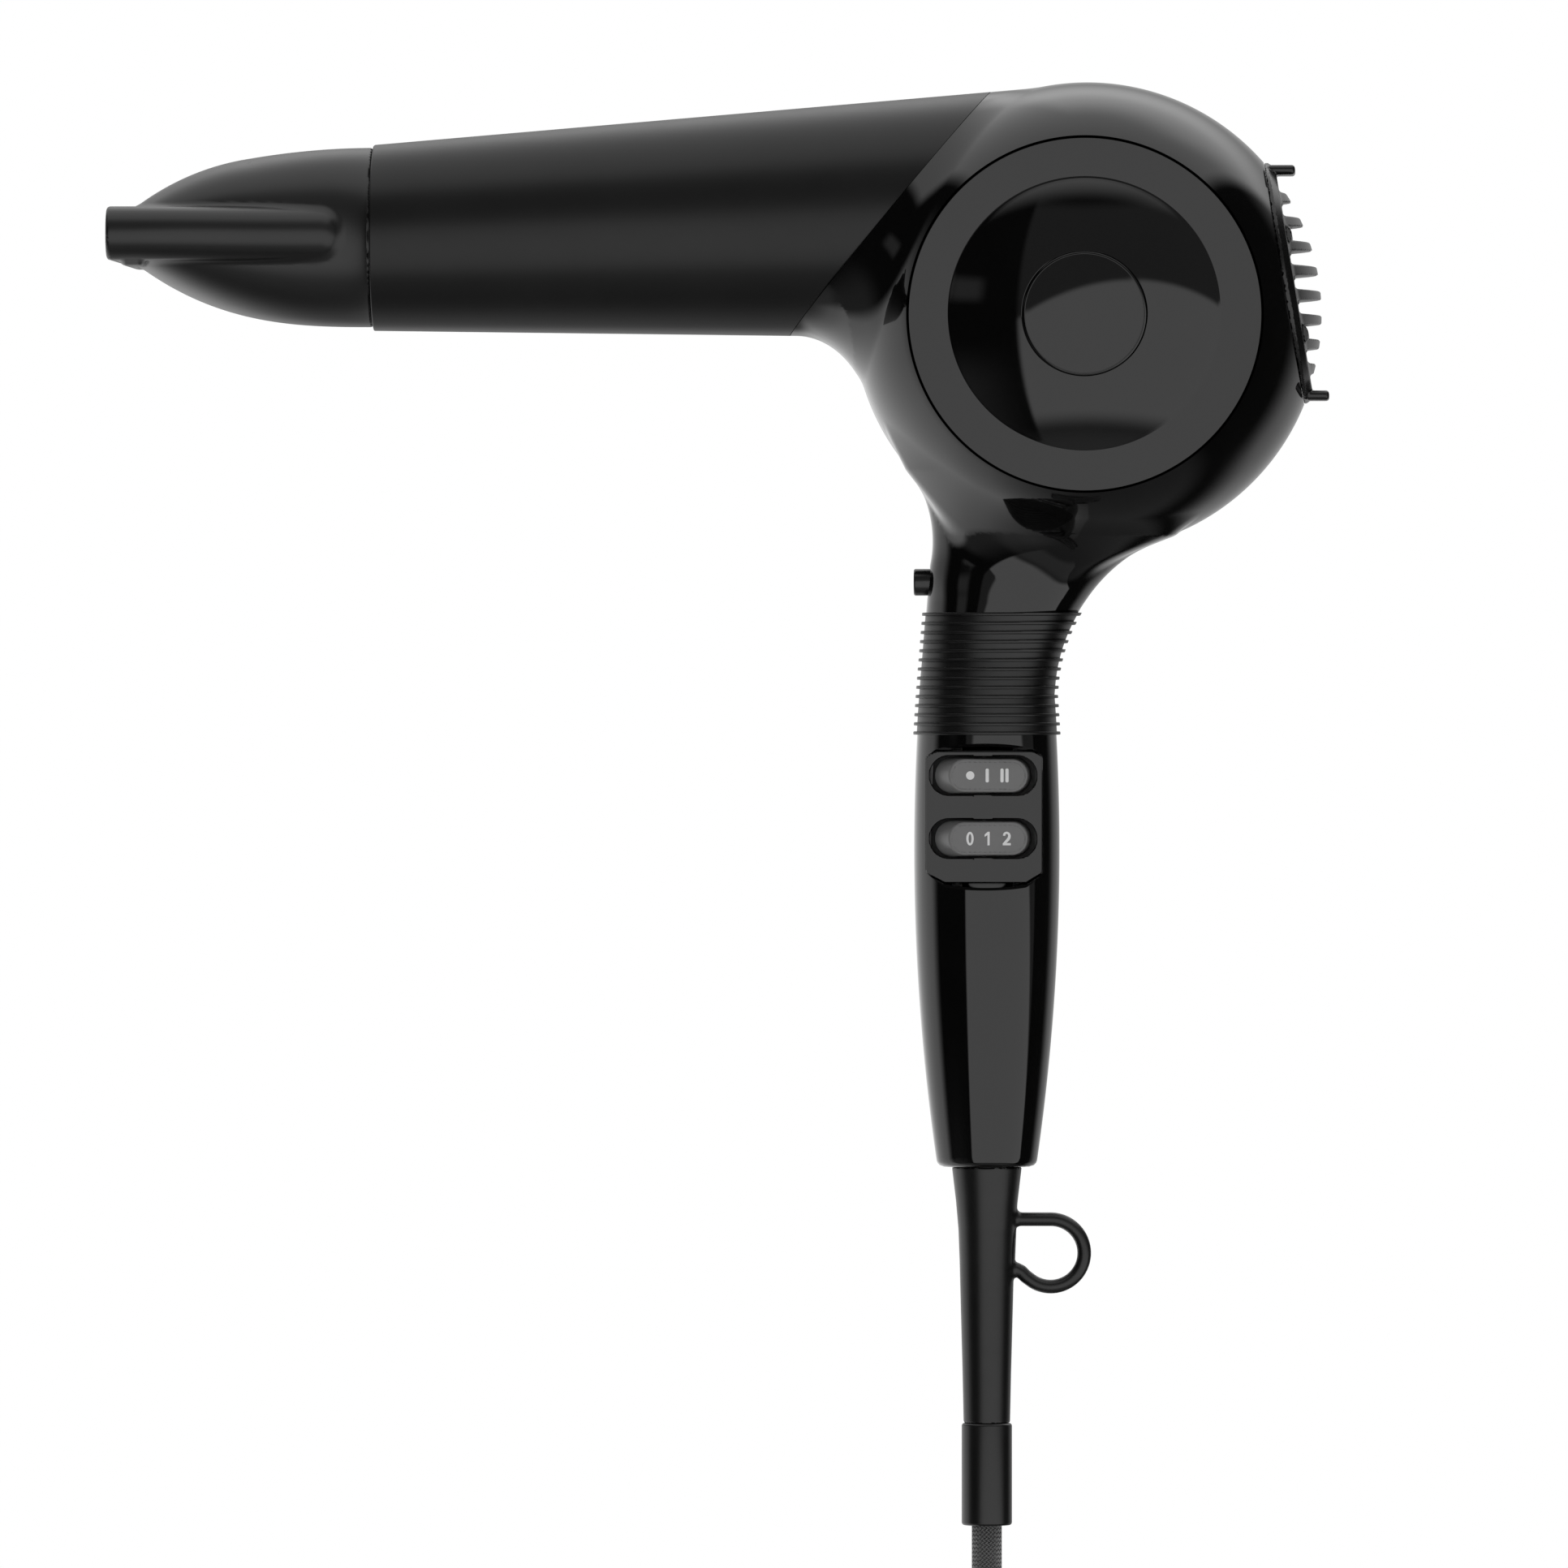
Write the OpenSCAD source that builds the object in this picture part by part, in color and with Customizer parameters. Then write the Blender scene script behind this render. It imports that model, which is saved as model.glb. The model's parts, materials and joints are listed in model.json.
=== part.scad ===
// Hair dryer with a round blower head, a tapered barrel, a push-on slot nozzle,
// a slim handle with two rocker switches and a braided mains cord.
// Millimetres. The origin is the centre of the ribbed grip on the handle's axis,
// the outlet points to -X, the handle hangs down -Z, the switches face -Y.

/* [Head] */
// Outer radius of the round head, seen from the side
head_r = 57.7; // [57.2:0.1:58.2]
// Half of the head's thickness at its flat side rings
head_half = 36; // [35.5:0.1:36.5]
// Distance of the head's axis behind the handle's axis
head_x = 24.7; // [24.5:0.1:24.9]
// Height of the head's axis above the grip centre
head_z = 87.9; // [87.7:0.1:88.1]
// Radius of the flat ring on each side cover
ring_r = 43.2; // [42.9:0.1:43.3]
// Radius of the cap in the middle of each side cover
cap_r = 15.1; // [14.8:0.1:15.4]

/* [Barrel] */
// Height of the barrel mouth's centre
mouth_z = 107.36; // [107.26:0.1:107.46]
// Distance of the barrel mouth in front of the handle's axis
mouth_x = -151.1; // [-153:0.1:-149]
// Outer radius of the barrel at its mouth
mouth_r = 22.9; // [22.8:0.1:23.1]
// Rise of the barrel's axis towards the rear, in degrees
barrel_tilt = 2.07; // [1.97:0.05:2.17]
// Half of the barrel's cone angle, in degrees
barrel_cone = 2.79; // [2.74:0.05:2.89]

/* [Nozzle] */
// Length of the nozzle in front of the barrel
nozzle_len = 64.2; // [63:0.1:66]
// Half of the slot's outer width
slot_half = 34; // [33:0.5:35]
// Outer height of the slot block
slot_h = 13.2; // [12.8:0.1:13.6]

/* [Handle] */
// Largest half width of the handle
handle_half = 17.9; // [17.8:0.1:18.1]
// Height of the handle's lower end
handle_low = -121.4; // [-121.6:0.1:-121.2]
// Number of ribs on the grip
rib_count = 14; // [10:1:14]
// Distance from rib to rib
rib_pitch = 2.25; // [2.1:0.05:2.3]
// Plane of the switch panel's front
panel_y = -11.4; // [-11.5:0.1:-11.3]

/* [Cord] */
// Diameter of the braided cord
cord_d = 7.4; // [7:0.1:7.4]
// Radius of the coil at the middle of its turns
coil_mid_r = 44.5; // [44:0.5:45]

/* [Hidden] */
$fn = 64;

big = 400;
gap = 0.3;
wall = 2.4;
joint_eps = 0.1;

// Head: a drum whose rim is an ellipse in section
rim_deep = 18;
rim_centre = head_r - rim_deep;
rim_steps = 12;
cover_floor = 32.8;
cover_open_r = 36;
inner_half = 30.6;
inner_rim = 13.8;
dome_sphere = 66;
dome_edge_r = 33.5;
dome_centre = head_half - sqrt(dome_sphere * dome_sphere - dome_edge_r * dome_edge_r);
dome_top = dome_centre + dome_sphere;
cap_floor = 40.4;
cap_gap = 0.25;
cover_wall = 1.6;

// Barrel
cone_slope = tan(barrel_cone);
sleeve_wall = 1.5;
duct_wall = 1.2;
seam_x = -48.2;
seam_z = 83.4;
seam_lean = 39.5;
seat_r = 21.6;
seat_deep = 12.5;

// Rear grille, on a flat cut across the head
grille_lean = 9.5;
grille_cut = 49.1;
grille_r = 30;
grille_z = 96;
fin_pitch = 6;
fin_t = 2.1;
fin_sphere = 55;
fin_rise = 8.65;
plate_rise = 2.6;
grille_open_r = 23.6;
grille_rim_r = 25.6;
filter_at = 46.9;

// Nozzle
spigot_r = 21.3;
nozzle_wall = 1.8;
nozzle_z = 107.5;
slot_z = 108;
nozzle_end = mouth_x - nozzle_len;

// Handle and neck outline
front_neck = [-43.6, 32.6];
front_neck_r = 30.2;
rear_neck = [58, -4.3];
rear_neck_r = 40.35;
round_power = 2.5;
loft_cols = 28;
grip_half = 15;
rib_t = 0.7;
rib_out = 1;

// Switches
switch_x = -0.7;
heat_z = -25;
speed_z = -40.5;
slot_len = 26.6;
slot_tall = 9.8;
pivot_y = -8.3;
pivot_r = 1;
rocker_face = 6.6;
rocker_tip = 12;
rocker_wide = 9.1;
button_z = 22.5;
button_r = 3.1;

// Blower
wheel_r = 36;
blade_in_r = 28;
blade_count = 30;
wheel_half = 13;
scroll_half = 15.8;
scroll_wall = 1.4;
tongue_r = 38.6;
scroll_out_r = 47;
tongue_angle = 190;
scroll_sweep = 260;
scroll_steps = 40;
shaft_r = 2;
shaft_fit = 0.04;
stator_r = 21.5;
rotor_r = 11.8;
bearing_r = 6;
motor_screw_x = 16.4;
plate_y = -31.2;
leg_at = 32.6;
inlet_r = 28.6;

// Heater
heater_r = 19.6;
heater_from = 18;
heater_to = 98;

// Cord route below the collar, then the coil and the plug
collar_r = 6.2;
collar_top = -184.2;
collar_low = -209.8;
coil_z = -316;
coil_pitch = 7.4;
coil_half = 14;
tail_y = 23;
LEAD = [[0, 0, -209.8], [0, 0, -220], [0, -0.3, -230], [1, -1.2, -237.8], [4, -2.8, -245],
    [8.8, -4.6, -251.2], [15.9, -6.7, -258.3], [22.9, -8.4, -265.3], [29.9, -9.6, -272.4],
    [36.7, -10.1, -279.3]];
TAIL = [[12.7, 18.1, -281.1], [23.8, 20.3, -287.6], [32.1, 22, -297.5], [36.3, 22.8, -308.3],
    [37.1, 23, -316], [37.1, 23, -322], [37.1, 23, -328]];

// Radius of the barrel's outside at a distance behind the mouth, along the barrel's axis
function barrel_r(s) = mouth_r + s * cone_slope;

// Front and rear edge of the neck and handle in side view, and half of the depth
function handle_w(z) = handle_half - pow(z + 43.35, 2) / 1064;
function blend(a, b, t) = a + (b - a) * max(0, min(1, t));
function neck_front(z) = front_neck[0]
    + sqrt(pow(front_neck_r, 2) - pow(min(z, 50) - front_neck[1], 2));
function neck_rear(z) = rear_neck[0]
    - sqrt(pow(rear_neck_r, 2) - pow(min(z, 34) - rear_neck[1], 2));
function front_x(z) = z > 26 ? neck_front(z) : z > 4 ? blend(-handle_w(4), -14.1, (z - 4) / 22)
    : -handle_w(z);
function rear_x(z) = z > -4 ? neck_rear(z) - blend(1, 0, (z + 4) / 22) : handle_w(z);
function half_y(z) = z > 4 ? blend(handle_w(4), 19, (z - 30) / 20) : handle_w(z);
function end_trim(z) = z < handle_low + 0.5 ? 2.2 : z < handle_low + 1.5 ? 0.8 : 0;

// One closed ring of points around the handle at a height, moved inwards by an inset
function power_cos(a, p) = sign(cos(a)) * pow(abs(cos(a)), 2 / p);
function power_sin(a, p) = sign(sin(a)) * pow(abs(sin(a)), 2 / p);
function handle_ring(z, inset, cols) = let(
        t = end_trim(z) + inset,
        mid = (front_x(z) + rear_x(z)) / 2,
        a = (rear_x(z) - front_x(z)) / 2 - t,
        b = half_y(z) - t)
    [for (i = [0:cols - 1]) let(g = 360 * (i + 0.5) / cols)
        [mid + a * power_cos(g, round_power), b * power_sin(g, round_power), z]];

// Closed skin over rings of points that all have the same count
module skin(rings) {
    n = len(rings[0]);
    m = len(rings);
    sides = [for (j = [0:m - 2]) for (i = [0:n - 1])
        [j * n + i, j * n + (i + 1) % n, (j + 1) * n + (i + 1) % n, (j + 1) * n + i]];
    polyhedron(
        [for (r = rings) each r],
        concat([[for (i = [0:n - 1]) i]], [for (f = sides) [f[0], f[3], f[2]]],
            [for (f = sides) [f[0], f[2], f[1]]], [[for (i = [n - 1:-1:0]) (m - 1) * n + i]]));
}

module about_fan(y = 0) {
    translate([head_x, y, head_z])
        rotate([-90, 0, 0])
            children();
}

module fan_ring(r_out, r_in, y_low, y_high) {
    about_fan(y_low)
        difference() {
            cylinder(h = y_high - y_low, r = r_out);
            translate([0, 0, -1])
                cylinder(h = y_high - y_low + 2, r = r_in);
        }
}

module along_barrel(s = 0) {
    translate([mouth_x, 0, mouth_z])
        rotate([0, 90 - barrel_tilt, 0])
            translate([0, 0, s])
                children();
}

module barrel_cone_solid(s_low, s_high, inset) {
    along_barrel(s_low)
        cylinder(h = s_high - s_low, r1 = barrel_r(s_low) - inset, r2 = barrel_r(s_high) - inset);
}

module seam_side(offset_x) {
    translate([seam_x, 0, seam_z])
        rotate([0, seam_lean, 0])
            translate([offset_x, -big / 2, -big / 2])
                children();
}

module in_grille() {
    translate([head_x, 0, head_z])
        rotate([0, 90 - grille_lean, 0])
            children();
}

module loft(inset, from_z, to_z) {
    heights = [-121.4, -120.4, -118.8, -104, -88, -72, -56, -40, -24, -8, 4, 10, 16, 21, 26, 30, 34, 38,
        42, 46, 54];
    skin([for (z = heights) if (z >= from_z && z <= to_z) handle_ring(z, inset, loft_cols)]);
}

module head_drum(centre_r, deep, half) {
    rim = [for (i = [0:2 * rim_steps]) let(a = -90 + 90 * i / rim_steps)
        [centre_r + deep * cos(a), half * sin(a)]];
    about_fan()
        rotate_extrude()
            polygon(concat([[0, -half]], rim, [[0, half]]));
}

module outer_form() {
    head_drum(rim_centre, rim_deep, head_half);
    loft(0, handle_low - 1, 60);
    difference() {
        barrel_cone_solid(90, 172, 0);
        seam_side(-big)
            cube([big, big, big]);
    }
}

module inner_form() {
    head_drum(head_r - wall - inner_rim, inner_rim, inner_half);
    loft(wall, -119, 60);
    barrel_cone_solid(80, 168, sleeve_wall + joint_eps);
}

// Places of the screws that hold the two halves together, as [x, z, boss end]
SCREWS = [[-9.6, 53.6, 28], [60.1, 52.5, 27.5], [0, -7, 15], [0, -104, 13]];
screw_r = 1.25;
boss_r = 3.2;
head_sink = 6.4;
screw_deep = 9;

module at_screw(p, y) {
    translate([p[0], y, p[1]])
        rotate([-90, 0, 0])
            children();
}

module shell_cuts() {
    for (side = [-1, 1]) {
        about_fan(side > 0 ? cover_floor : -cover_floor - 20)
            cylinder(h = 20, r = ring_r + 0.3);
        about_fan(side > 0 ? 20 : -60)
            cylinder(h = 40, r = cover_open_r);
    }
    in_grille()
        translate([-50, -60, grille_cut])
            cube([100, 120, 40]);
    in_grille()
        translate([0, 0, 42])
            cylinder(h = 20, r = 26);
    translate([-30, 0, button_z])
        rotate([0, 90, 0])
            cylinder(h = 22, r = button_r + gap);
    translate([0, 0, handle_low - 5])
        cylinder(h = 12, r = 7.6);
}

module half_shell(side) {
    difference() {
        intersection() {
            union() {
                difference() {
                    outer_form();
                    inner_form();
                }
                for (p = SCREWS)
                    at_screw(p, side > 0 ? 0 : -p[2])
                        cylinder(h = p[2], r = boss_r);
            }
            translate([-big / 2, side > 0 ? 0.02 : -big - 0.02, -big / 2])
                cube([big, big, big]);
        }
        shell_cuts();
        for (p = SCREWS)
            at_screw(p, -screw_deep - 0.5)
                cylinder(h = screw_deep + 0.5 + p[2], r = screw_r + joint_eps);
        for (p = SCREWS)
            at_screw(p, p[2] - head_sink)
                cylinder(h = 40, r = 2.8);
    }
}

module shell_left() {
    color("#141414")
        difference() {
            half_shell(-1);
            translate([-15.2, -30, -53.2])
                cube([29.4, 30 + panel_y + 2.1, 34.4]);
            translate([-14.4, -12, -52.9])
                cube([27.8, 6, 34]);
        }
}

module shell_right() {
    color("#141414")
        half_shell(1);
}

// Height of the dome's outside at a radius from the fan's axis
function dome_h(r) = dome_centre + sqrt(dome_sphere * dome_sphere - r * r);

module cover_disc() {
    hole_r = cap_r + cap_gap;
    under_from = cap_r + 1.8;
    under_to = dome_edge_r - 1;
    lip_r = 35.6;
    dome = [for (i = [0:8]) let(r = hole_r + (dome_edge_r - hole_r) * i / 8) [r, dome_h(r)]];
    under = [for (i = [8:-1:0]) let(r = under_from + (under_to - under_from) * i / 8)
        [r, dome_h(r) - 2.2]];
    rotate_extrude()
        polygon(concat([[10, cap_floor]], [[hole_r, cap_floor]], dome,
            [[ring_r - 0.8, head_half], [ring_r, head_half - 0.8], [ring_r, cover_floor + 0.05],
                [lip_r, cover_floor + 0.05], [lip_r, 31.6], [lip_r - 1.8, 31.6], [lip_r - 1.8, 32.2]],
            under, [[under_from, cap_floor - cover_wall], [10, cap_floor - cover_wall]]));
}

module hub_disc() {
    edge_round = 0.4;
    rotate_extrude()
        polygon(concat([[0, cap_floor + 0.05], [0, dome_top]],
            [for (i = [1:6]) let(r = (cap_r - edge_round) * i / 6) [r, dome_h(r)]],
            [[cap_r, dome_h(cap_r) - edge_round], [cap_r, cap_floor + 0.05]]));
    translate([0, 0, cap_floor - 4])
        cylinder(h = 4.5, r = 9.8);
}

module side_cover_left() {
    color("#171717")
        mirror([0, 1, 0])
            about_fan()
                cover_disc();
}

module side_cover_right() {
    color("#171717")
        about_fan()
            cover_disc();
}

module hub_cap_left() {
    color("#101010")
        mirror([0, 1, 0])
            about_fan()
                hub_disc();
}

module hub_cap_right() {
    color("#101010")
        about_fan()
            hub_disc();
}

module rear_grille() {
    color("#1a1a1a") {
        difference() {
            in_grille()
                translate([0, 0, filter_at - 0.3])
                    cylinder(h = grille_cut + plate_rise - filter_at, r = grille_rim_r);
            in_grille()
                translate([0, 0, 40])
                    cylinder(h = 20, r = grille_open_r);
        }
        difference() {
            in_grille()
                translate([0, 0, grille_cut + 0.05])
                    cylinder(h = plate_rise - 0.05, r = grille_r);
            in_grille()
                translate([0, 0, 40])
                    cylinder(h = 20, r = grille_open_r);
        }
        intersection() {
            for (k = [-3.5:1:3.5])
                translate([head_x + 35, -40, grille_z + fin_pitch * k - fin_t / 2])
                    cube([40, 80, fin_t]);
            in_grille()
                translate([0, 0, grille_cut + fin_rise - fin_sphere])
                    sphere(r = fin_sphere);
            in_grille()
                translate([0, 0, grille_cut + 0.4])
                    cylinder(h = 20, r = grille_r - 0.8);
        }
        translate([69.2, -10, 122.6])
            cube([6.7, 20, 2.4]);
        translate([78.3, -10, 67.2])
            cube([6, 20, 2.4]);
        for (side = [-1, 1])
            in_grille()
                translate([side * 12, 0, grille_cut + 0.6])
                    rotate([90, 0, 0])
                        cylinder(h = 44, r = 1.1, center = true);
    }
}

module intake_filter() {
    color("#3a3a3a")
        in_grille()
            translate([0, 0, filter_at])
                difference() {
                    cylinder(h = 0.8, r = 23.3);
                    for (i = [-5:5])
                        for (j = [-5:5])
                            if (norm([i, j]) < 5.2)
                                translate([3.8 * i, 3.8 * j, 0.4])
                                    cube([3, 3, 4], center = true);
                }
}

module barrel_sleeve() {
    color("#202020")
        difference() {
            barrel_cone_solid(-2, 175, 0);
            barrel_cone_solid(seat_deep, 180, sleeve_wall);
            translate([mouth_x - 5, 0, nozzle_z])
                rotate([0, 90, 0])
                    cylinder(h = seat_deep + 5.2, r = seat_r);
            translate([mouth_x - 20, -50, 0])
                cube([20, 100, 200]);
            seam_side(-joint_eps)
                cube([big, big, big]);
        }
}

module inner_barrel() {
    color("#2b2b2b")
        difference() {
            barrel_cone_solid(seat_deep + 0.5, 121, sleeve_wall + 0.2);
            barrel_cone_solid(seat_deep + 3, 134, sleeve_wall + 0.2 + duct_wall);
            along_barrel(seat_deep - 5)
                cylinder(h = 20, r = 19.9);
        }
}

module outlet_grille() {
    ring_gap = 4.2;
    color("#4a4a48")
        along_barrel(heater_from - 4.8)
            difference() {
                union() {
                    for (k = [0:4])
                        difference() {
                            cylinder(h = 3, r = 19.7 - ring_gap * k);
                            translate([0, 0, -1])
                                cylinder(h = 5, r = 18.6 - ring_gap * k);
                        }
                    for (a = [0:45:135])
                        rotate([0, 0, a])
                            translate([-19.2, -0.5, 0.5])
                                cube([38.4, 1, 2]);
                }
                translate([0, 0, -2])
                    cylinder(h = 8, r = 1);
            }
}

// Outer outline of the nozzle: half height up, half height down and half width at a station
function nozzle_top(x) = x > -181.2
    ? blend(129.6, 127, pow((mouth_x - x) / 30.1, 2))
    : 68.3 + sqrt(59.3 * 59.3 - pow(x + 172.7, 2));
function nozzle_low(x) = blend(85.4, 99.8, pow((mouth_x - x) / 57.1, 2.6));
function nozzle_side(x) = blend(22.1, slot_half, pow(sin(90 * min(1, (mouth_x - x) / 57.1)), 1.6));
function nozzle_power(x) = blend(2, 3.2, (mouth_x - x) / 57.1);
function nozzle_ring(x, inset, cols) = let(
        mid = (nozzle_top(x) + nozzle_low(x)) / 2,
        tall = (nozzle_top(x) - nozzle_low(x)) / 2 - inset,
        wide = nozzle_side(x) - inset,
        p = nozzle_power(x))
    [for (i = [0:cols - 1]) let(g = 360 * (i + 0.5) / cols)
        [x, wide * power_cos(g, p), mid + tall * power_sin(g, p)]];

module slot_bar(x_low, x_high, tall, half) {
    for (side = [-1, 1])
        translate([x_low, side * (half - tall / 2), slot_z])
            rotate([0, 90, 0])
                cylinder(h = x_high - x_low, r = tall / 2);
    translate([x_low, -half + tall / 2, slot_z - tall / 2])
        cube([x_high - x_low, 2 * half - tall, tall]);
}

module nozzle() {
    stations = [-209, -204, -199, -193, -187, -181, -175, -169, -163, -157, -151.3];
    inside = [-206.5, -203, -199, -193, -187, -181, -175, -169, -163, -157, -153];
    color("#1c1c1c")
        difference() {
            union() {
                skin([for (x = stations) nozzle_ring(x, 0, 32)]);
                slot_bar(nozzle_end, -206, slot_h, slot_half);
                translate([-154, 0, nozzle_z])
                    rotate([0, 90, 0])
                        cylinder(h = 14.6, r = spigot_r);
            }
            skin([for (x = inside) nozzle_ring(x, nozzle_wall, 32)]);
            slot_bar(nozzle_end - 1, -205, 7.6, slot_half - 2.8);
            translate([-155, 0, nozzle_z])
                rotate([0, 90, 0])
                    cylinder(h = 20, r = spigot_r - 1.5);
        }
}

module rib_plate(z, inset, h) {
    ring = handle_ring(z, inset, loft_cols);
    translate([0, 0, z - h / 2])
        linear_extrude(h)
            polygon([for (p = ring) [p[0], p[1]]]);
}

module grip_sleeve() {
    skin_out = 0.35;
    first = -rib_pitch * (rib_count - 1) / 2;
    color("#242424")
        difference() {
            union() {
                skin([for (z = [-grip_half, -3, 3, 9, grip_half]) handle_ring(z, -skin_out, loft_cols)]);
                for (k = [0:rib_count - 1])
                    rib_plate(first + rib_pitch * k, -rib_out, rib_t);
            }
            loft(-0.05, -24, 21);
        }
}

module stadium(len_x, tall_z, y_low, y_high) {
    for (side = [-1, 1])
        translate([side * (len_x - tall_z) / 2, y_low, 0])
            rotate([-90, 0, 0])
                cylinder(h = y_high - y_low, r = tall_z / 2);
    translate([-(len_x - tall_z) / 2, y_low, -tall_z / 2])
        cube([len_x - tall_z, y_high - y_low, tall_z]);
}

module switch_panel() {
    color("#121212")
        difference() {
            translate([-15, panel_y, -53])
                cube([29, 2, 34]);
            for (z = [heat_z, speed_z])
                translate([switch_x, 0, z])
                    stadium(slot_len, slot_tall, panel_y - 1, panel_y + 3);
        }
}

// Rocker in its middle position: the pivot is at the origin and the face looks to -Y
module rocker_form() {
    color("#3c3c3c")
        difference() {
            intersection() {
                translate([0, 0, -rocker_wide / 2])
                    linear_extrude(rocker_wide)
                        polygon([[-9.7, -rocker_face], [-rocker_tip + 0.2, -2.6], [-rocker_tip, 0],
                            [-11, 2.8], [11, 2.8], [rocker_tip, 0], [rocker_tip - 0.2, -2.6],
                            [9.7, -rocker_face]]);
                stadium(2 * rocker_tip + 0.4, rocker_wide + 0.02, -rocker_face - 2, 5);
            }
            translate([0, 0, -10])
                cylinder(h = 20, r = pivot_r + 0.05);
        }
}

module rocker_at(z) {
    translate([switch_x, pivot_y, z])
        rotate([0, 0, 12])
            rocker_form();
}

module rocker_heat() {
    rocker_at(heat_z);
}

module rocker_speed() {
    rocker_at(speed_z);
}

module switch_body(z) {
    color("#0c0c0c")
        translate([switch_x, 0, z]) {
            difference() {
                translate([-13.4, panel_y + 2.05, -6])
                    cube([26.8, 13, 12]);
                translate([-12.8, panel_y, -4.9])
                    cube([25.6, 9.5, 9.8]);
            }
            translate([0, pivot_y, -5.2])
                cylinder(h = 10.4, r = pivot_r);
        }
}

module switch_body_heat() {
    switch_body(heat_z);
}

module switch_body_speed() {
    switch_body(speed_z);
}

module cold_shot_button() {
    color("#262626")
        translate([0, 0, button_z])
            rotate([0, 90, 0]) {
                translate([0, 0, -18])
                    cylinder(h = 8, r = button_r);
                translate([0, 0, -11])
                    cylinder(h = 1.2, r = 4.4);
                translate([0, 0, -10])
                    cylinder(h = 4.4, r = 1.3);
            }
}

module cold_shot_spring() {
    color("#9a9a9a")
        for (k = [0:3])
            translate([-5.4 + 1.1 * k, 0, button_z])
                rotate([0, 90, 0])
                    rotate_extrude()
                        translate([2.4, 0])
                            circle(r = 0.3, $fn = 24);
}

module cold_shot_switch() {
    color("#303030")
        difference() {
            translate([-1.7, -4.5, button_z - 4.5])
                cube([7, 9, 9]);
            translate([-2.7, 0, button_z])
                rotate([0, 90, 0])
                    cylinder(h = 3, r = 1.8);
        }
}

module strain_relief() {
    profile = [[0, -112.5], [9.2, -112.5], [9.2, -114.6], [7.3, -114.6], [7.3, handle_low - 0.1],
        [8.6, handle_low - 0.1], [7.6, -130], [7, -137], [6.7, -145], [6.4, -157], [6, -172],
        [5.6, collar_top - 0.4], [0, collar_top - 0.4]];
    loop_x = 15.7;
    loop_z = -142.7;
    loop_r = 8.3;
    rod_r = 1.7;
    color("#202020") {
        rotate_extrude()
            polygon(profile);
        translate([4, 0, loop_z + loop_r])
            rotate([0, 90, 0])
                cylinder(h = loop_x - 3.2, r = rod_r - 0.1);
        translate([loop_x, 0, loop_z])
            rotate([90, 0, 0])
                rotate([0, 0, -123])
                    rotate_extrude(angle = 213)
                        translate([loop_r, 0])
                            circle(r = rod_r, $fn = 32);
        translate([loop_x - loop_r * sin(33), 0, loop_z - loop_r * cos(33)])
            rotate([0, -57, 0])
                translate([0, 0, -0.8])
                    cylinder(h = 8.8, r = rod_r - 0.1);
    }
}

module cord_collar() {
    color("#1e1e1e")
        rotate_extrude()
            polygon([[0, collar_top - 0.4], [collar_r - 0.6, collar_top - 0.4],
                [collar_r, collar_top - 1], [collar_r, collar_low + 0.6],
                [collar_r - 0.6, collar_low], [0, collar_low]]);
}

module cord_clamp() {
    color("#1e1e1e")
        difference() {
            translate([-9, 2, -112.3])
                cube([18, 5, 5]);
            for (side = [-1, 1])
                translate([side * 6.5, 0, -109.8])
                    rotate([-90, 0, 0])
                        cylinder(h = 12, r = 1.2);
        }
}

module stator_core() {
    color("#6d6f72")
        difference() {
            fan_ring(stator_r, rotor_r + 0.6, -22, -4);
            motor_screw_holes();
        }
}

module stator_coils() {
    color("#b5713a")
        for (y = [-25.4, -3.9])
            about_fan(y)
                difference() {
                    cylinder(h = 3.3, r = 19.5);
                    translate([0, 0, -1])
                        cylinder(h = 6, r = 13);
                    translate([-30, -3, -1])
                        cube([60, 6, 6]);
                }
}

module rotor_core() {
    color("#7a7c80")
        about_fan(-24)
            difference() {
                union() {
                    translate([0, 0, 2])
                        cylinder(h = 18, r = rotor_r);
                    cylinder(h = 22, r = 9.5);
                }
                for (a = [0:30:330])
                    rotate([0, 0, a])
                        translate([10.2, -0.7, 1])
                            cube([4, 1.4, 20]);
                translate([0, 0, -1])
                    cylinder(h = 30, r = shaft_r);
            }
}

module commutator() {
    color("#c07a44")
        about_fan(-29.2)
            difference() {
                cylinder(h = 4.8, r = 5.6);
                for (a = [0:30:330])
                    rotate([0, 0, a])
                        translate([4.6, -0.25, -1])
                            cube([2, 0.5, 5.6]);
                translate([0, 0, -1])
                    cylinder(h = 9, r = shaft_r);
            }
}

module motor_shaft() {
    color("#b9bcc0")
        about_fan(plate_y - 2.6)
            cylinder(h = 16.8 - plate_y + 2.6, r = shaft_r);
}

module motor_screw_holes() {
    for (side = [-1, 1])
        about_fan(-40)
            translate([side * motor_screw_x, 0, 0])
                cylinder(h = 60, r = 1.6);
}

module motor_bracket_front() {
    color("#303032")
        difference() {
            union() {
                fan_ring(stator_r, bearing_r + joint_eps, 1.6, 4.4);
                fan_ring(8, bearing_r + joint_eps, 1.6, 7.2);
            }
            motor_screw_holes();
        }
}

// The rear bracket carries the motor on three legs that stand on the scroll's cover
module motor_bracket_rear() {
    color("#303032")
        difference() {
            union() {
                fan_ring(stator_r, bearing_r + joint_eps, plate_y, plate_y + 1.8);
                fan_ring(8, bearing_r + joint_eps, plate_y - 2.6, plate_y + 1.8);
                fan_ring(stator_r, stator_r - 1.8, plate_y, -25.6);
                for (a = [30, 150, 270])
                    about_fan(plate_y)
                        rotate([0, 0, a]) {
                            translate([stator_r - 1.5, -2.4, 0])
                                cube([12.6, 4.8, 1.8]);
                            translate([leg_at, 0, 0])
                                cylinder(h = -scroll_half - plate_y - 0.05, r = 2.4);
                        }
            }
            motor_screw_holes();
        }
}

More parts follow.
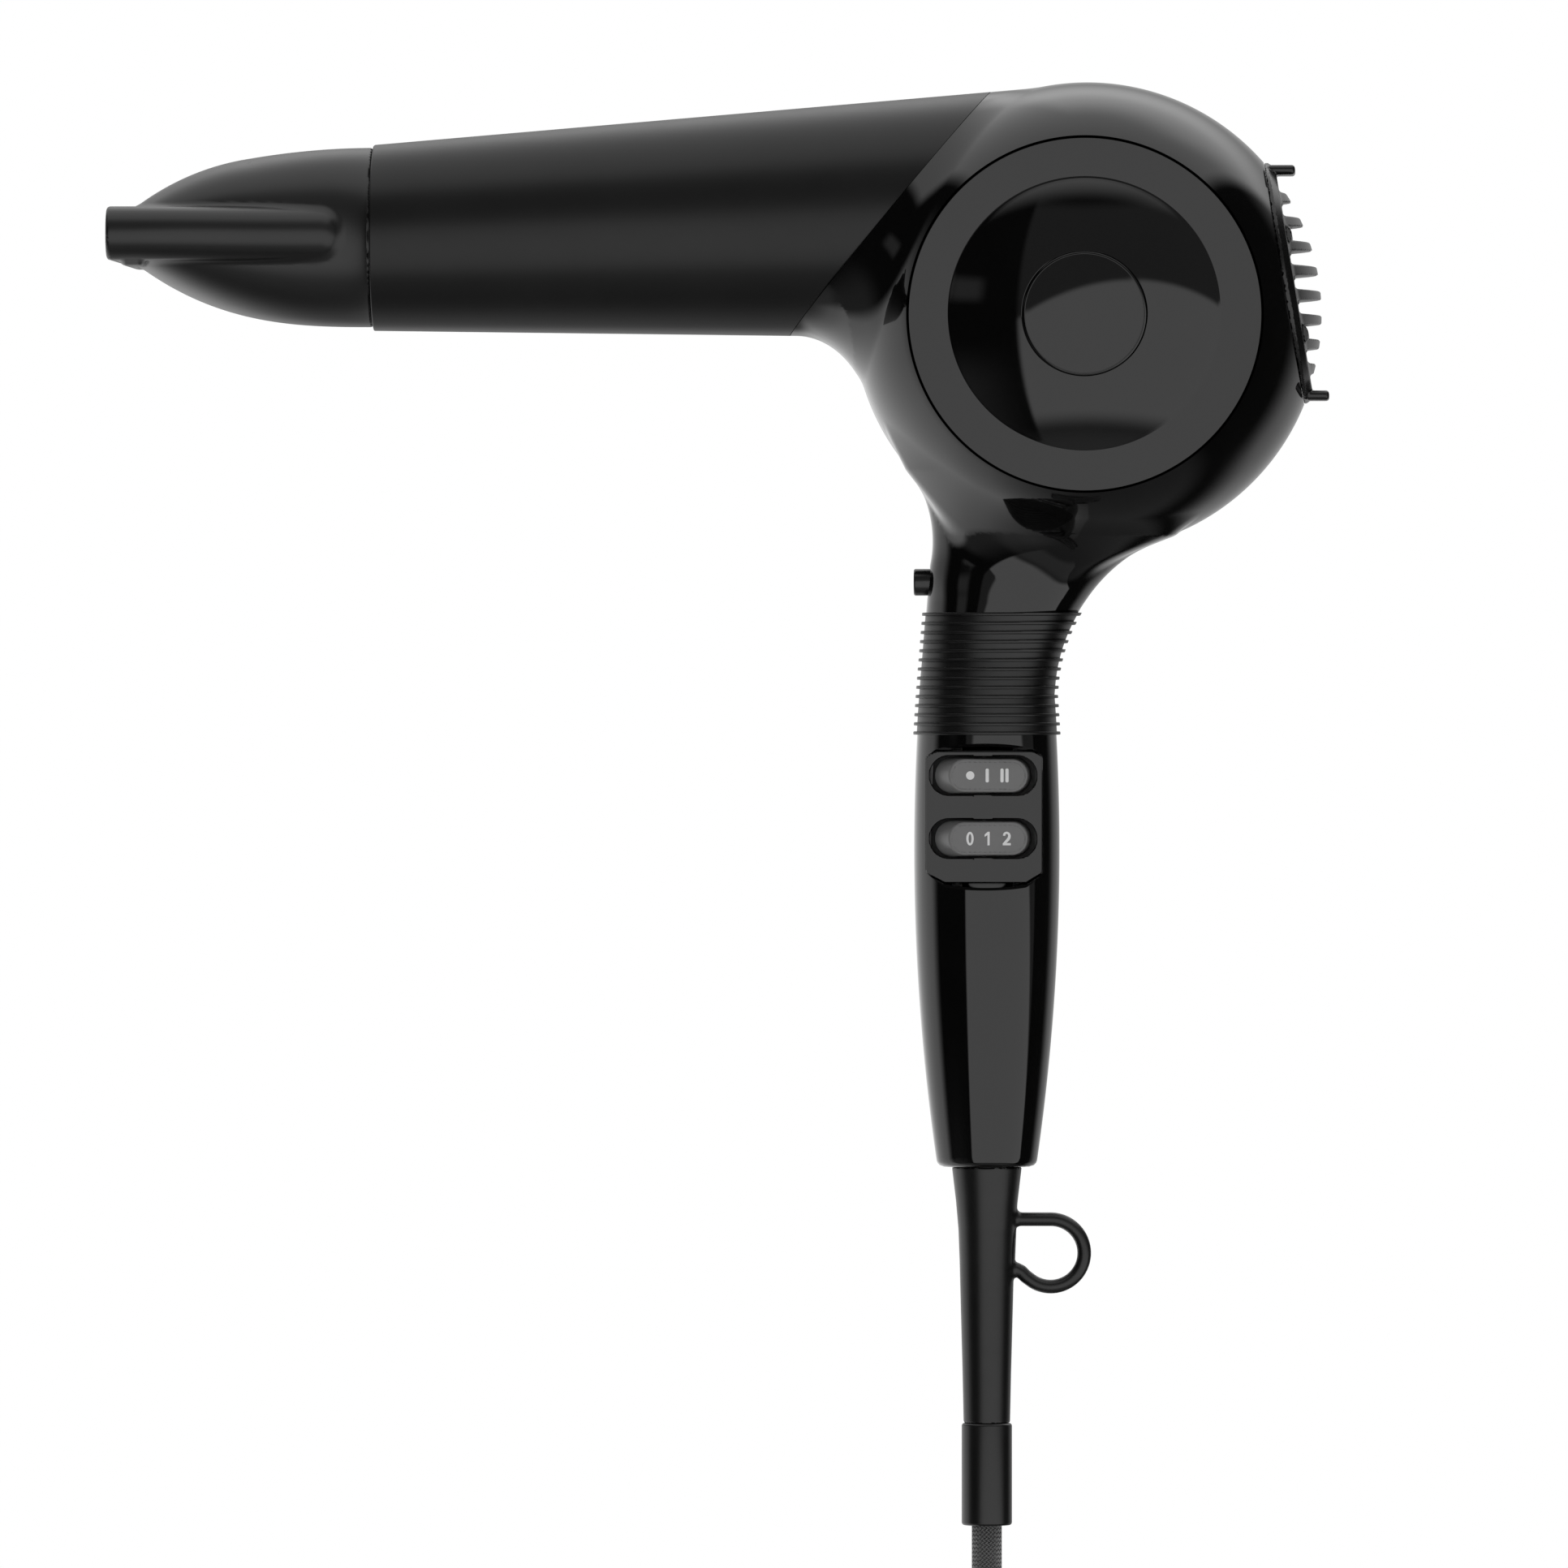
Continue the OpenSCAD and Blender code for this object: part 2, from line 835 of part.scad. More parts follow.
module bearing(y) {
    color("#a8abae")
        fan_ring(bearing_r, shaft_r + shaft_fit, y, y + 4);
}

module bearing_front() {
    bearing(2.6);
}

module bearing_rear() {
    bearing(plate_y - 2.4);
}

module carbon_brushes() {
    color("#2a2a2c")
        for (side = [-1, 1])
            about_fan(-27)
                translate([side * 9.9, 0, 0])
                    cube([8, 4, 3.6], center = true);
}

module motor_screws() {
    color("#c8c8ca")
        for (side = [-1, 1])
            about_fan(plate_y - 1.95)
                translate([side * motor_screw_x, 0, 0]) {
                    cylinder(h = 1.9, r = 2.7);
                    cylinder(h = 37.6, r = 1.4);
                }
}

module impeller() {
    color("#3d4043") {
        fan_ring(wheel_r, shaft_r, 10.8, wheel_half);
        fan_ring(7, shaft_r, 8, wheel_half);
        fan_ring(wheel_r, wheel_r - 2.2, -wheel_half, -11.2);
        for (k = [0:blade_count - 1])
            about_fan(-wheel_half)
                rotate([0, 0, 360 / blade_count * k])
                    translate([blade_in_r, 0, 0])
                        rotate([0, 0, -25])
                            cube([wheel_r - blade_in_r, 0.9, 2 * wheel_half - 1]);
    }
}

module impeller_nut() {
    color("#b5a166")
        fan_ring(4, shaft_r, wheel_half + 0.05, 15.6);
}

// Radius of the scroll's wall, growing from the tongue round to the top
function scroll_r(a, extra) = tongue_r + (scroll_out_r - tongue_r) * a / scroll_sweep + extra;
function scroll_line(extra) = concat(
    [for (i = [0:scroll_steps]) let(a = scroll_sweep * i / scroll_steps, g = tongue_angle + a)
        scroll_r(a, extra) * [cos(g), sin(g)]],
    [[-60, scroll_out_r + extra - 3], [-60, -10 - extra]]);

module scroll_solid(extra, half) {
    intersection() {
        translate([head_x, half, head_z])
            rotate([90, 0, 0])
                linear_extrude(2 * half)
                    polygon(scroll_line(extra));
        union() {
            about_fan(-half)
                cylinder(h = 2 * half, r = 52.4 - (scroll_wall - extra));
            barrel_cone_solid(100, 160, 4.4 + (scroll_wall - extra));
        }
    }
}

module scroll_case() {
    color("#2e3032")
        difference() {
            scroll_solid(scroll_wall, scroll_half);
            scroll_solid(0, scroll_half - 1.4);
            about_fan(-scroll_half - 1)
                cylinder(h = scroll_half, r = 44);
            translate([-80, -scroll_half - 1, 0])
                cube([big, 2.5, big]);
            about_fan(0)
                cylinder(h = 30, r = 8.5);
        }
}

module scroll_cover() {
    color("#36383a")
        difference() {
            intersection() {
                scroll_solid(scroll_wall, scroll_half);
                translate([-80, -scroll_half, 0])
                    cube([big, 1.4, big]);
            }
            about_fan(-scroll_half - 2)
                cylinder(h = 5, r = inlet_r);
        }
    color("#36383a")
        fan_ring(inlet_r + 1.4, inlet_r, -18.5, -scroll_half + 0.2);
}

module mica_tube() {
    color("#b9a77e")
        along_barrel(heater_from)
            difference() {
                cylinder(h = heater_to - heater_from, r = heater_r);
                translate([0, 0, -1])
                    cylinder(h = heater_to - heater_from + 2, r = heater_r - 0.5);
            }
}

module mica_cross() {
    span = heater_to - heater_from - 8;
    color("#c4b48c")
        along_barrel(heater_from + 4)
            for (a = [0, 90])
                rotate([0, 0, a])
                    translate([-heater_r + 0.7, -0.4, 0])
                        cube([2 * heater_r - 1.4, 0.8, span]);
}

module heating_coils() {
    color("#8d8f92")
        for (k = [0:8])
            along_barrel(heater_from + 9 + 6.4 * k)
                rotate_extrude()
                    translate([16, 0])
                        circle(r = 0.9, $fn = 24);
}

module thermostat() {
    color("#c9c9c4")
        along_barrel(heater_to - 16)
            translate([6, 0.5, 0])
                rotate([-90, 0, 0])
                    cylinder(h = 4, r = 5);
}

module thermal_fuse() {
    color("#d8d2c0")
        along_barrel(heater_to - 22)
            translate([-8, 2.2, 0])
                cylinder(h = 11, r = 1.6);
}

module control_board() {
    color("#2f5a3a")
        translate([-10, -2, -98])
            cube([20, 1.6, 38]);
    color("#26282a") {
        translate([-7, -0.5, -92])
            cube([8, 4.6, 12]);
        translate([4, -0.5, -72])
            rotate([-90, 0, 0])
                cylinder(h = 4.6, r = 3.6);
    }
}

module wiring() {
    color("#8a8d90")
        for (side = [-1, 1])
            translate([side * 7.5, 6.4, -106])
                cylinder(h = 150, r = 1.3);
}

module shell_screws() {
    color("#9a9da0")
        for (p = SCREWS) {
            at_screw(p, -screw_deep)
                cylinder(h = p[2] - head_sink + screw_deep + 0.1, r = screw_r);
            at_screw(p, p[2] - head_sink + 0.05)
                cylinder(h = 2, r = 2.5);
        }
}

// Round tube swept along a route: each ring stands square to the route
function unit(v) = v / norm(v);
function route_way(pts, i) = unit(pts[min(i + 1, len(pts) - 1)] - pts[max(i - 1, 0)]);
function tube_ring(pts, i, r, sides, way) = let(
        t = way,
        u = unit(cross([0, 1, 0.001], t)),
        v = cross(t, u))
    [for (k = [0:sides - 1]) let(a = 360 * k / sides) pts[i] + r * (cos(a) * u + sin(a) * v)];
module tube(pts, r, first_way, last_way) {
    last = len(pts) - 1;
    skin([for (i = [0:last])
        tube_ring(pts, i, r, 12, i == 0 ? first_way : i == last ? last_way : route_way(pts, i))]);
}

module cord_lead() {
    color("#2c2c2c")
        tube(LEAD, cord_d / 2, [0, 0, -1], unit([1, -0.05, -1]));
}

module cord_tail() {
    color("#2c2c2c")
        tube(TAIL, cord_d / 2, unit([0.94, 0.3, -0.34]), [0, 0, -1]);
}

module cord_coil() {
    half_thick = coil_pitch * 1.5;
    color("#2c2c2c")
        translate([0, 0, coil_z])
            rotate([90, 0, 0])
                rotate_extrude()
                    polygon([for (s = [[-1, -1], [1, -1], [1, 1], [-1, 1]]) each
                        [for (k = s[0] * s[1] > 0 ? [0, 1] : [1, 0])
                            [coil_mid_r + s[0] * (half_thick - (k == 0 ? 0 : 2)),
                                s[1] * (coil_half - (k == 0 ? 2 : 0))]]]);
}

module cord_tie() {
    tie_deep = 1.5;
    inner_x = 1.5 * coil_pitch + 2 * gap;
    inner_y = coil_half + gap;
    color("#3a3a3a")
        translate([0, 0, coil_z])
            rotate([0, 25, 0])
                translate([-coil_mid_r, 0, 0])
                    difference() {
                        cube([2 * (inner_x + tie_deep), 2 * (inner_y + tie_deep), 9], center = true);
                        cube([2 * inner_x, 2 * inner_y, 10], center = true);
                    }
}

plug_x = 37.1;
plug_top = -328;
pin_space = 19;

module plug_body() {
    color("#1f1f1f")
        translate([plug_x, tail_y, 0]) {
            translate([0, 0, plug_top - 18])
                cylinder(h = 18, r1 = 7, r2 = 4.6);
            translate([0, 0, plug_top - 24])
                cylinder(h = 6, r1 = 8.2, r2 = 7);
            hull()
                for (z = [plug_top - 24, plug_top - 54])
                    for (side = [-1, 1])
                        translate([side * (z > plug_top - 30 ? 3 : 9.4), 0, z - 2])
                            cylinder(h = 4, r = 8.4, $fn = 32);
        }
}

module plug_pins() {
    color("#c9c2a8")
        for (side = [-1, 1])
            translate([plug_x + side * pin_space / 2, tail_y, plug_top - 56 - 19])
                cylinder(h = 19, r = 2.4);
}

nozzle();
barrel_sleeve();
inner_barrel();
outlet_grille();
shell_left();
shell_right();
side_cover_left();
side_cover_right();
hub_cap_left();
hub_cap_right();
rear_grille();
intake_filter();
grip_sleeve();
switch_panel();
rocker_heat();
rocker_speed();
switch_body_heat();
switch_body_speed();
cold_shot_button();
cold_shot_spring();
cold_shot_switch();
strain_relief();
cord_collar();
cord_clamp();
stator_core();
stator_coils();
rotor_core();
commutator();
motor_shaft();
motor_bracket_front();
motor_bracket_rear();
bearing_front();
bearing_rear();
carbon_brushes();
motor_screws();
impeller();
impeller_nut();
scroll_case();
scroll_cover();
mica_tube();
mica_cross();
heating_coils();
thermostat();
thermal_fuse();
control_board();
wiring();
shell_screws();
cord_lead();
cord_coil();
cord_tail();
cord_tie();
plug_body();
plug_pins();
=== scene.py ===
import json
import math

import bpy
import numpy as np
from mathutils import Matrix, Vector


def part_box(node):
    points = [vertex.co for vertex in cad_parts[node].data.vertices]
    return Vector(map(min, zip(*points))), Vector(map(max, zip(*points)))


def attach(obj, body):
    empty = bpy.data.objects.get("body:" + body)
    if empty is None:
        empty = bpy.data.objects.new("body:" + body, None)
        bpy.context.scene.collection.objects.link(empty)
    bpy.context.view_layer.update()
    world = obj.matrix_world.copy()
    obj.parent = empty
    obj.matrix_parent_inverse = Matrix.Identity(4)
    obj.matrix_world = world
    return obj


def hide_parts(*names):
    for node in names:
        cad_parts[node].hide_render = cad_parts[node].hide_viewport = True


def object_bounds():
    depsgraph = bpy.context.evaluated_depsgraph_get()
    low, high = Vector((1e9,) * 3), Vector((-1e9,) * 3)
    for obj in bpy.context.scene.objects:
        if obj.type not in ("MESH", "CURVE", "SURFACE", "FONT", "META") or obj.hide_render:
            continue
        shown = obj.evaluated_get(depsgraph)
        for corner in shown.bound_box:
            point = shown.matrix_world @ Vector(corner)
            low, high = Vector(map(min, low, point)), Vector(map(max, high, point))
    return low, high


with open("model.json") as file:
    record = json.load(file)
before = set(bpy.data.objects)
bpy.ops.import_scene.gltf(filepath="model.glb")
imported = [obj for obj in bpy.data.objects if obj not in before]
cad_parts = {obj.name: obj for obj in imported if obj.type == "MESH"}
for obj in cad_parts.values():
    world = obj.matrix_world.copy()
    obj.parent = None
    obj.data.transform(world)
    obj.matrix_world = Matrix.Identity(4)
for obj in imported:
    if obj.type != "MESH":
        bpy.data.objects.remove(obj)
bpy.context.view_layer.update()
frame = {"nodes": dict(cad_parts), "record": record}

# Lengths in this script are millimetres, in the row frame, until mesh_object() turns them into metres.
MM = 0.001


def span(node):
    """Lowest and highest corner of a CAD node, in millimetres."""
    low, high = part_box(node)
    return np.array(low) / MM, np.array(high) / MM


# ---------------- sizes taken from the frame
COVER_LOW, COVER_HIGH = span("side_cover_left")
HEAD_X, HEAD_Z = (COVER_LOW[0] + COVER_HIGH[0]) / 2, (COVER_LOW[2] + COVER_HIGH[2]) / 2
RING_R = (COVER_HIGH[0] - COVER_LOW[0]) / 2
DOME_TOP = -span("hub_cap_left")[0][1]
DOME_R, DOME_EDGE = 66, 33.5
HEAD_HALF = DOME_TOP - DOME_R + math.sqrt(DOME_R**2 - DOME_EDGE**2)
HEAD_R = span("shell_right")[1][2] - HEAD_Z
CAP_R = (span("hub_cap_left")[1][0] - span("hub_cap_left")[0][0]) / 2
MOUTH_X = span("barrel_sleeve")[0][0]
NOZZLE_LOW, NOZZLE_HIGH = span("nozzle")
SLOT_HALF = NOZZLE_HIGH[1]
HANDLE_LOW = span("shell_right")[0][2]
PANEL_LOW, PANEL_HIGH = span("switch_panel")
COLLAR_LOW, COLLAR_HIGH = span("cord_collar")
BUTTON_LOW, BUTTON_HIGH = span("cold_shot_button")
BUTTON_Z = (BUTTON_LOW[2] + BUTTON_HIGH[2]) / 2
PLUG_LOW, PLUG_HIGH = span("plug_body")
PIN_LOW, PIN_HIGH = span("plug_pins")
COIL_LOW, COIL_HIGH = span("cord_coil")
COIL_Z = (COIL_LOW[2] + COIL_HIGH[2]) / 2

# ---------------- the camera
# It stands far back, a little behind the switches' side, and looks at the middle of the view.
CAMERA_AT = (96, -4650, 4)
CAMERA_AIM = (-50, 0, -27.2)
VIEW_WIDTH = 386.4


def make_camera():
    data = bpy.data.cameras.new("camera")
    camera = bpy.data.objects.new("camera", data)
    bpy.context.scene.collection.objects.link(camera)
    way = Vector(CAMERA_AIM) - Vector(CAMERA_AT)
    camera.location = Vector(CAMERA_AT) * MM
    camera.rotation_euler = way.to_track_quat("-Z", "Y").to_euler()
    data.sensor_width = 36
    data.lens = data.sensor_width * way.length / VIEW_WIDTH
    data.clip_start, data.clip_end = 0.5, 40
    bpy.context.scene.camera = camera


make_camera()


# ---------------- mesh helpers
SHARP_ANGLE = math.radians(30)


def mesh_object(name, points, faces, sharp=32):
    """A smooth-shaded mesh object from points in millimetres; edges over the sharp angle stay crisp."""
    mesh = bpy.data.meshes.new(name)
    mesh.from_pydata((np.asarray(points, float) * MM).tolist(), [], [tuple(map(int, f)) for f in faces])
    mesh.update()
    if signed_volume(mesh) < 0:
        mesh.flip_normals()
    mesh.polygons.foreach_set("use_smooth", np.ones(len(mesh.polygons), bool))
    mesh.set_sharp_from_angle(angle=math.radians(sharp))
    made = bpy.data.objects.new(name, mesh)
    bpy.context.scene.collection.objects.link(made)
    return made


def read(items, key, width=1, kind=np.float32):
    """One value, or one row of values, from every item of a mesh's list."""
    values = np.zeros(len(items) * width, kind)
    items.foreach_get(key, values)
    return values.reshape(-1, width) if width > 1 else values


def signed_volume(mesh):
    """Negative when a closed mesh is turned inside out."""
    mesh.calc_loop_triangles()
    corners = read(mesh.loop_triangles, "vertices", 3, np.int32)
    a, b, c = read(mesh.vertices, "co", 3)[corners].transpose(1, 0, 2)
    return float((a * np.cross(b, c)).sum())


def blend(a, b, t):
    return a + (b - a) * np.clip(t, 0, 1)


def smooth(t):
    t = np.clip(t, 0, 1)
    return t * t * (3 - 2 * t)


def round_angles(count):
    """Angles that divide a full turn evenly."""
    return np.arange(count) * 2 * math.pi / count


def fillet(corners, closed=True, steps=4):
    """Outline through corners (x, y, radius), each one rounded by its radius."""
    line = []
    count = len(corners)
    for i, (x, y, radius) in enumerate(corners):
        here = np.array((x, y), float)
        if radius <= 0 or (not closed and i in (0, count - 1)):
            line.append(here)
            continue
        back = np.array(corners[i - 1][:2]) - here
        ahead = np.array(corners[(i + 1) % count][:2]) - here
        reach = 0.49 * min(np.hypot(*back), np.hypot(*ahead))
        back, ahead = back / np.hypot(*back), ahead / np.hypot(*ahead)
        half = math.acos(np.clip(back @ ahead, -0.9999, 0.9999)) / 2
        cut = min(reach, radius / math.tan(half))
        round_r = cut * math.tan(half)
        bisector = (back + ahead) / np.hypot(*(back + ahead))
        centre = here + bisector * round_r / math.sin(half)
        first, last = here + back * cut - centre, here + ahead * cut - centre
        turn = math.acos(np.clip(first @ last / round_r**2, -1, 1))
        for k in range(steps + 1):
            t = k / steps
            share = (math.sin((1 - t) * turn), math.sin(t * turn))
            line.append(centre + (first * share[0] + last * share[1]) / math.sin(turn))
    return np.array(line)


def sweep_mesh(name, rows, round_trip=False, sharp=32, uv=None):
    """Closed skin over rows of rings: round_trip joins the last ring to the first, else the ends get caps."""
    rows = np.asarray(rows, float)
    many, each = rows.shape[:2]
    faces = []
    for j in range(many if round_trip else many - 1):
        low, high = j * each, (j + 1) % many * each
        faces += [(low + i, low + (i + 1) % each, high + (i + 1) % each, high + i) for i in range(each)]
    if not round_trip:
        faces.append(tuple(range(each))[::-1])
        faces.append(tuple((many - 1) * each + i for i in range(each)))
    made = mesh_object(name, rows.reshape(-1, 3), faces, sharp)
    if uv is not None:
        layer = made.data.uv_layers.new(name="weave")
        values = np.zeros((len(made.data.loops), 2))
        for f, face in enumerate(made.data.polygons[: (many - 1) * each]):
            j, i = divmod(f, each)
            around = np.array((i, i + 1, i + 1, i)) / each
            along = (uv[j], uv[j], uv[j + 1], uv[j + 1])
            values[list(face.loop_indices)] = np.stack((around, along), 1)
        layer.data.foreach_set("uv", values.ravel())
    return made


def turned(name, profile, centre, axis, steps=160):
    """Solid of revolution: profile is a closed outline of (radius, height); height runs along axis."""
    axis = np.array(axis, float) / np.linalg.norm(axis)
    side = np.cross(axis, (0, 0, 1) if abs(axis[2]) < 0.9 else (0, 1, 0))
    side /= np.linalg.norm(side)
    third = np.cross(axis, side)
    angle = round_angles(steps)
    spokes = np.cos(angle)[:, None] * side + np.sin(angle)[:, None] * third
    profile = np.asarray(profile, float)
    on_axis = profile[0][0] < 1e-9 and profile[-1][0] < 1e-9
    body = profile[1:-1] if on_axis else profile
    rows = [centre + h * axis + r * spokes for r, h in body]
    return sweep_mesh(name, rows, round_trip=not on_axis)


def surface_of(field, low, high, cell):
    """Closed skin where field(points) is zero inside a box: dual cells moved onto the exact surface."""
    size = [int(math.ceil((high[a] - low[a]) / cell)) + 1 for a in range(3)]
    axes = [low[a] + cell * np.arange(size[a]) for a in range(3)]
    grid = np.stack(np.meshgrid(*axes, indexing="ij"), -1)
    value = field(grid.reshape(-1, 3)).reshape(size)
    ids, hits, quads = [], [], []
    for a in range(3):
        near, far = [slice(None)] * 3, [slice(None)] * 3
        near[a], far[a] = slice(None, -1), slice(1, None)
        v0, v1 = value[tuple(near)], value[tuple(far)]
        at = np.argwhere((v0 < 0) != (v1 < 0))
        first, second = v0[tuple(at.T)], v1[tuple(at.T)]
        point = np.array(low) + cell * at.astype(float)
        point[:, a] += cell * first / (first - second)
        b, c = (a + 1) % 3, (a + 2) % 3
        ring = []
        for db, dc in ((-1, -1), (0, -1), (0, 0), (-1, 0)):
            beside = at.copy()
            beside[:, b] += db
            beside[:, c] += dc
            ring.append((beside[:, 0] * size[1] + beside[:, 1]) * size[2] + beside[:, 2])
            ids.append(ring[-1])
            hits.append(point)
        ring = np.stack(ring, 1)
        quads.append(np.where((first < 0)[:, None], ring, ring[:, ::-1]))
    ids, hits, quads = np.concatenate(ids), np.concatenate(hits), np.concatenate(quads)
    known, where = np.unique(ids, return_inverse=True)
    count = np.bincount(where)
    points = np.stack([np.bincount(where, hits[:, a]) / count for a in range(3)], 1)
    faces = np.searchsorted(known, quads)
    for _ in range(4):
        slope = gradient(field, points)
        push = field(points) / np.maximum((slope**2).sum(1), 0.05)
        points -= np.clip(push, -cell, cell)[:, None] * slope
    return points, faces


def gradient(field, points, step=0.02):
    slope = np.zeros_like(points)
    for a in range(3):
        shift = np.zeros(3)
        shift[a] = step
        slope[:, a] = (field(points + shift) - field(points - shift)) / (2 * step)
    return slope


def field_object(name, field, low, high, cell):
    return mesh_object(name, *surface_of(field, low, high, cell))


def smooth_from(piece, field, within=22):
    """Gives the faces that lie on the field's surface the field's own normals, so reflections run clean."""
    mesh = piece.data
    mesh.set_sharp_from_angle(angle=SHARP_ANGLE)
    corner = read(mesh.corner_normals, "vector", 3)
    point = read(mesh.vertices, "co", 3).astype(float) / MM
    slope = gradient(field, point)
    length = np.linalg.norm(slope, axis=1)
    slope /= np.maximum(length, 1e-6)[:, None]
    on_it = np.abs(field(point)) / np.maximum(length, 0.1) < 0.3
    vertex = read(mesh.loops, "vertex_index", kind=np.int32)
    sizes = read(mesh.polygons, "loop_total", kind=np.int32)
    facing = np.repeat(read(mesh.polygons, "normal", 3), sizes, axis=0)
    fits = on_it[vertex] & ((facing * slope[vertex]).sum(1) > math.cos(math.radians(within)))
    corner[fits] = slope[vertex][fits]
    mesh.normals_split_custom_set(corner.tolist())


def carve(piece, *cutters, operation="DIFFERENCE"):
    """Cuts solid meshes from a solid mesh piece, and removes the cutters."""
    for cutter in cutters:
        tool = piece.modifiers.new("cut", "BOOLEAN")
        tool.solver, tool.operation, tool.object = "MANIFOLD", operation, cutter
        bpy.context.view_layer.update()
        ready = piece.evaluated_get(bpy.context.evaluated_depsgraph_get())
        mesh = bpy.data.meshes.new_from_object(ready)
        piece.modifiers.clear()
        piece.data = mesh
        bpy.data.objects.remove(cutter)
    piece.data.polygons.foreach_set("use_smooth", np.ones(len(piece.data.polygons), bool))
    piece.data.set_sharp_from_angle(angle=SHARP_ANGLE)


def block(low, high, turn=0.0, pivot=(0, 0)):
    """Box cutter, turned about Y by turn degrees round the point pivot (x, z)."""
    xs, ys, zs = zip(low, high)
    points = np.array([(x, y, z) for x in xs for y in ys for z in zs], float)
    c, s = math.cos(math.radians(turn)), math.sin(math.radians(turn))
    x, z = points[:, 0].copy(), points[:, 2].copy()
    points[:, 0] = pivot[0] + c * x + s * z
    points[:, 2] = pivot[1] - s * x + c * z
    faces = [(0, 1, 3, 2), (4, 6, 7, 5), (0, 4, 5, 1), (2, 3, 7, 6), (0, 2, 6, 4), (1, 5, 7, 3)]
    return mesh_object("cutter", points, faces)


def turned_cutter(profile, centre, axis, steps=160):
    """Turned solid that reaches its axis at both ends, used to cut."""
    closed = [(0, profile[0][1])] + list(profile) + [(0, profile[-1][1])]
    return turned("cutter", closed, centre, axis, steps)


def sided(stem, side):
    return stem + ("_left" if side < 0 else "_right")


def place(piece, body, *stands_for, slot):
    """Paints a piece with its slot's material and joins it to its CAD body."""
    piece.data.materials.clear()
    piece.data.materials.append(MATERIALS[slot])
    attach(piece, body)
    if stands_for:
        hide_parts(*stands_for)
    return piece


# ---------------- materials
def noise(tree, scale, detail=3.0, roughness=0.5, stretch=(1, 1, 1)):
    """Noise over the piece's own coordinates; scale counts per metre."""
    nodes = tree.nodes
    where = nodes.new("ShaderNodeTexCoord")
    turn = nodes.new("ShaderNodeMapping")
    turn.inputs["Scale"].default_value = stretch
    made = nodes.new("ShaderNodeTexNoise")
    made.inputs["Scale"].default_value = scale
    made.inputs["Detail"].default_value = detail
    made.inputs["Roughness"].default_value = roughness
    tree.links.new(where.outputs["Object"], turn.inputs["Vector"])
    tree.links.new(turn.outputs["Vector"], made.inputs["Vector"])
    return made.outputs["Fac"]


def math_node(tree, operation, *values):
    made = tree.nodes.new("ShaderNodeMath")
    made.operation = operation
    for socket, value in zip(made.inputs, values):
        if isinstance(value, (int, float)):
            socket.default_value = value
        else:
            tree.links.new(value, socket)
    return made.outputs[0]


def times(tree, *values):
    """Product of sockets and numbers."""
    total = values[0]
    for value in values[1:]:
        total = math_node(tree, "MULTIPLY", total, value)
    return total


def ramp(tree, factor, *stops):
    made = tree.nodes.new("ShaderNodeValToRGB")
    spots = made.color_ramp.elements
    while len(spots) < len(stops):
        spots.new(0.5)
    for spot, (at, colour) in zip(spots, stops):
        spot.position = at
        spot.color = (*colour, 1)
    tree.links.new(factor, made.inputs["Fac"])
    return made.outputs["Color"]


def new_material(name, **values):
    made = bpy.data.materials.new(name)
    made.use_nodes = True
    shader = made.node_tree.nodes["Principled BSDF"]
    for key, value in values.items():
        shader.inputs[key].default_value = value
    return made, made.node_tree, shader


def wire_up(tree, shader, tone, wear, rough, relief, depth_mm, strength=1.0):
    """Joins the tones, the gloss that wear moves between two roughnesses, and the relief to the shader."""
    tree.links.new(tone, shader.inputs["Base Color"])
    gloss = tree.nodes.new("ShaderNodeMapRange")
    gloss.inputs["To Min"].default_value, gloss.inputs["To Max"].default_value = rough
    tree.links.new(wear, gloss.inputs["Value"])
    tree.links.new(gloss.outputs["Result"], shader.inputs["Roughness"])
    bump = tree.nodes.new("ShaderNodeBump")
    bump.inputs["Strength"].default_value = strength
    bump.inputs["Distance"].default_value = depth_mm * MM
    tree.links.new(relief, bump.inputs["Height"])
    tree.links.new(bump.outputs["Normal"], shader.inputs["Normal"])


def plastic(name, dark, light, rough, swing, grain, depth_mm, strength=1.0, detail=3.0, shine=0.5):
    """Moulded plastic: two close tones, uneven gloss and a fine moulded grain."""
    made, tree, shader = new_material(name, **{"Specular IOR Level": shine})
    tone = ramp(tree, noise(tree, 60, 4), (0.35, dark), (0.65, light))
    wear, relief = noise(tree, 220, 5, 0.6), noise(tree, grain, detail)
    wire_up(tree, shader, tone, wear, (rough - swing, rough + swing), relief, depth_mm, strength)
    return made


def grey(value):
    return (value, value, value)


def metal(name, colour, rough, swing, stretch):
    """Metal with drawn or turned lines along one axis."""
    made, tree, shader = new_material(name, Metallic=1.0)
    lines = noise(tree, 900, 4, 0.6, stretch)
    tone = ramp(tree, lines, (0.3, tuple(0.82 * c for c in colour)), (0.7, colour))
    wire_up(tree, shader, tone, lines, (rough - swing, rough + swing), lines, 0.01)
    return made


def patterned(name, bands, settings, dark, light, wear, rough, depth_mm, metallic):
    """Sheets and windings drawn as bands across or along an axis, or woven fibre drawn as cells."""
    made, tree, shader = new_material(name, Metallic=metallic)
    where = tree.nodes.new("ShaderNodeTexCoord")
    drawn = tree.nodes.new("ShaderNodeTexWave" if bands else "ShaderNodeTexVoronoi")
    if bands:
        drawn.bands_direction = bands
    for key, value in settings.items():
        drawn.inputs[key].default_value = value
    tree.links.new(where.outputs["Object"], drawn.inputs["Vector"])
    relief = drawn.outputs["Fac" if bands else "Distance"]
    wire_up(tree, shader, ramp(tree, relief, dark, light), noise(tree, wear), rough, relief, depth_mm)
    return made


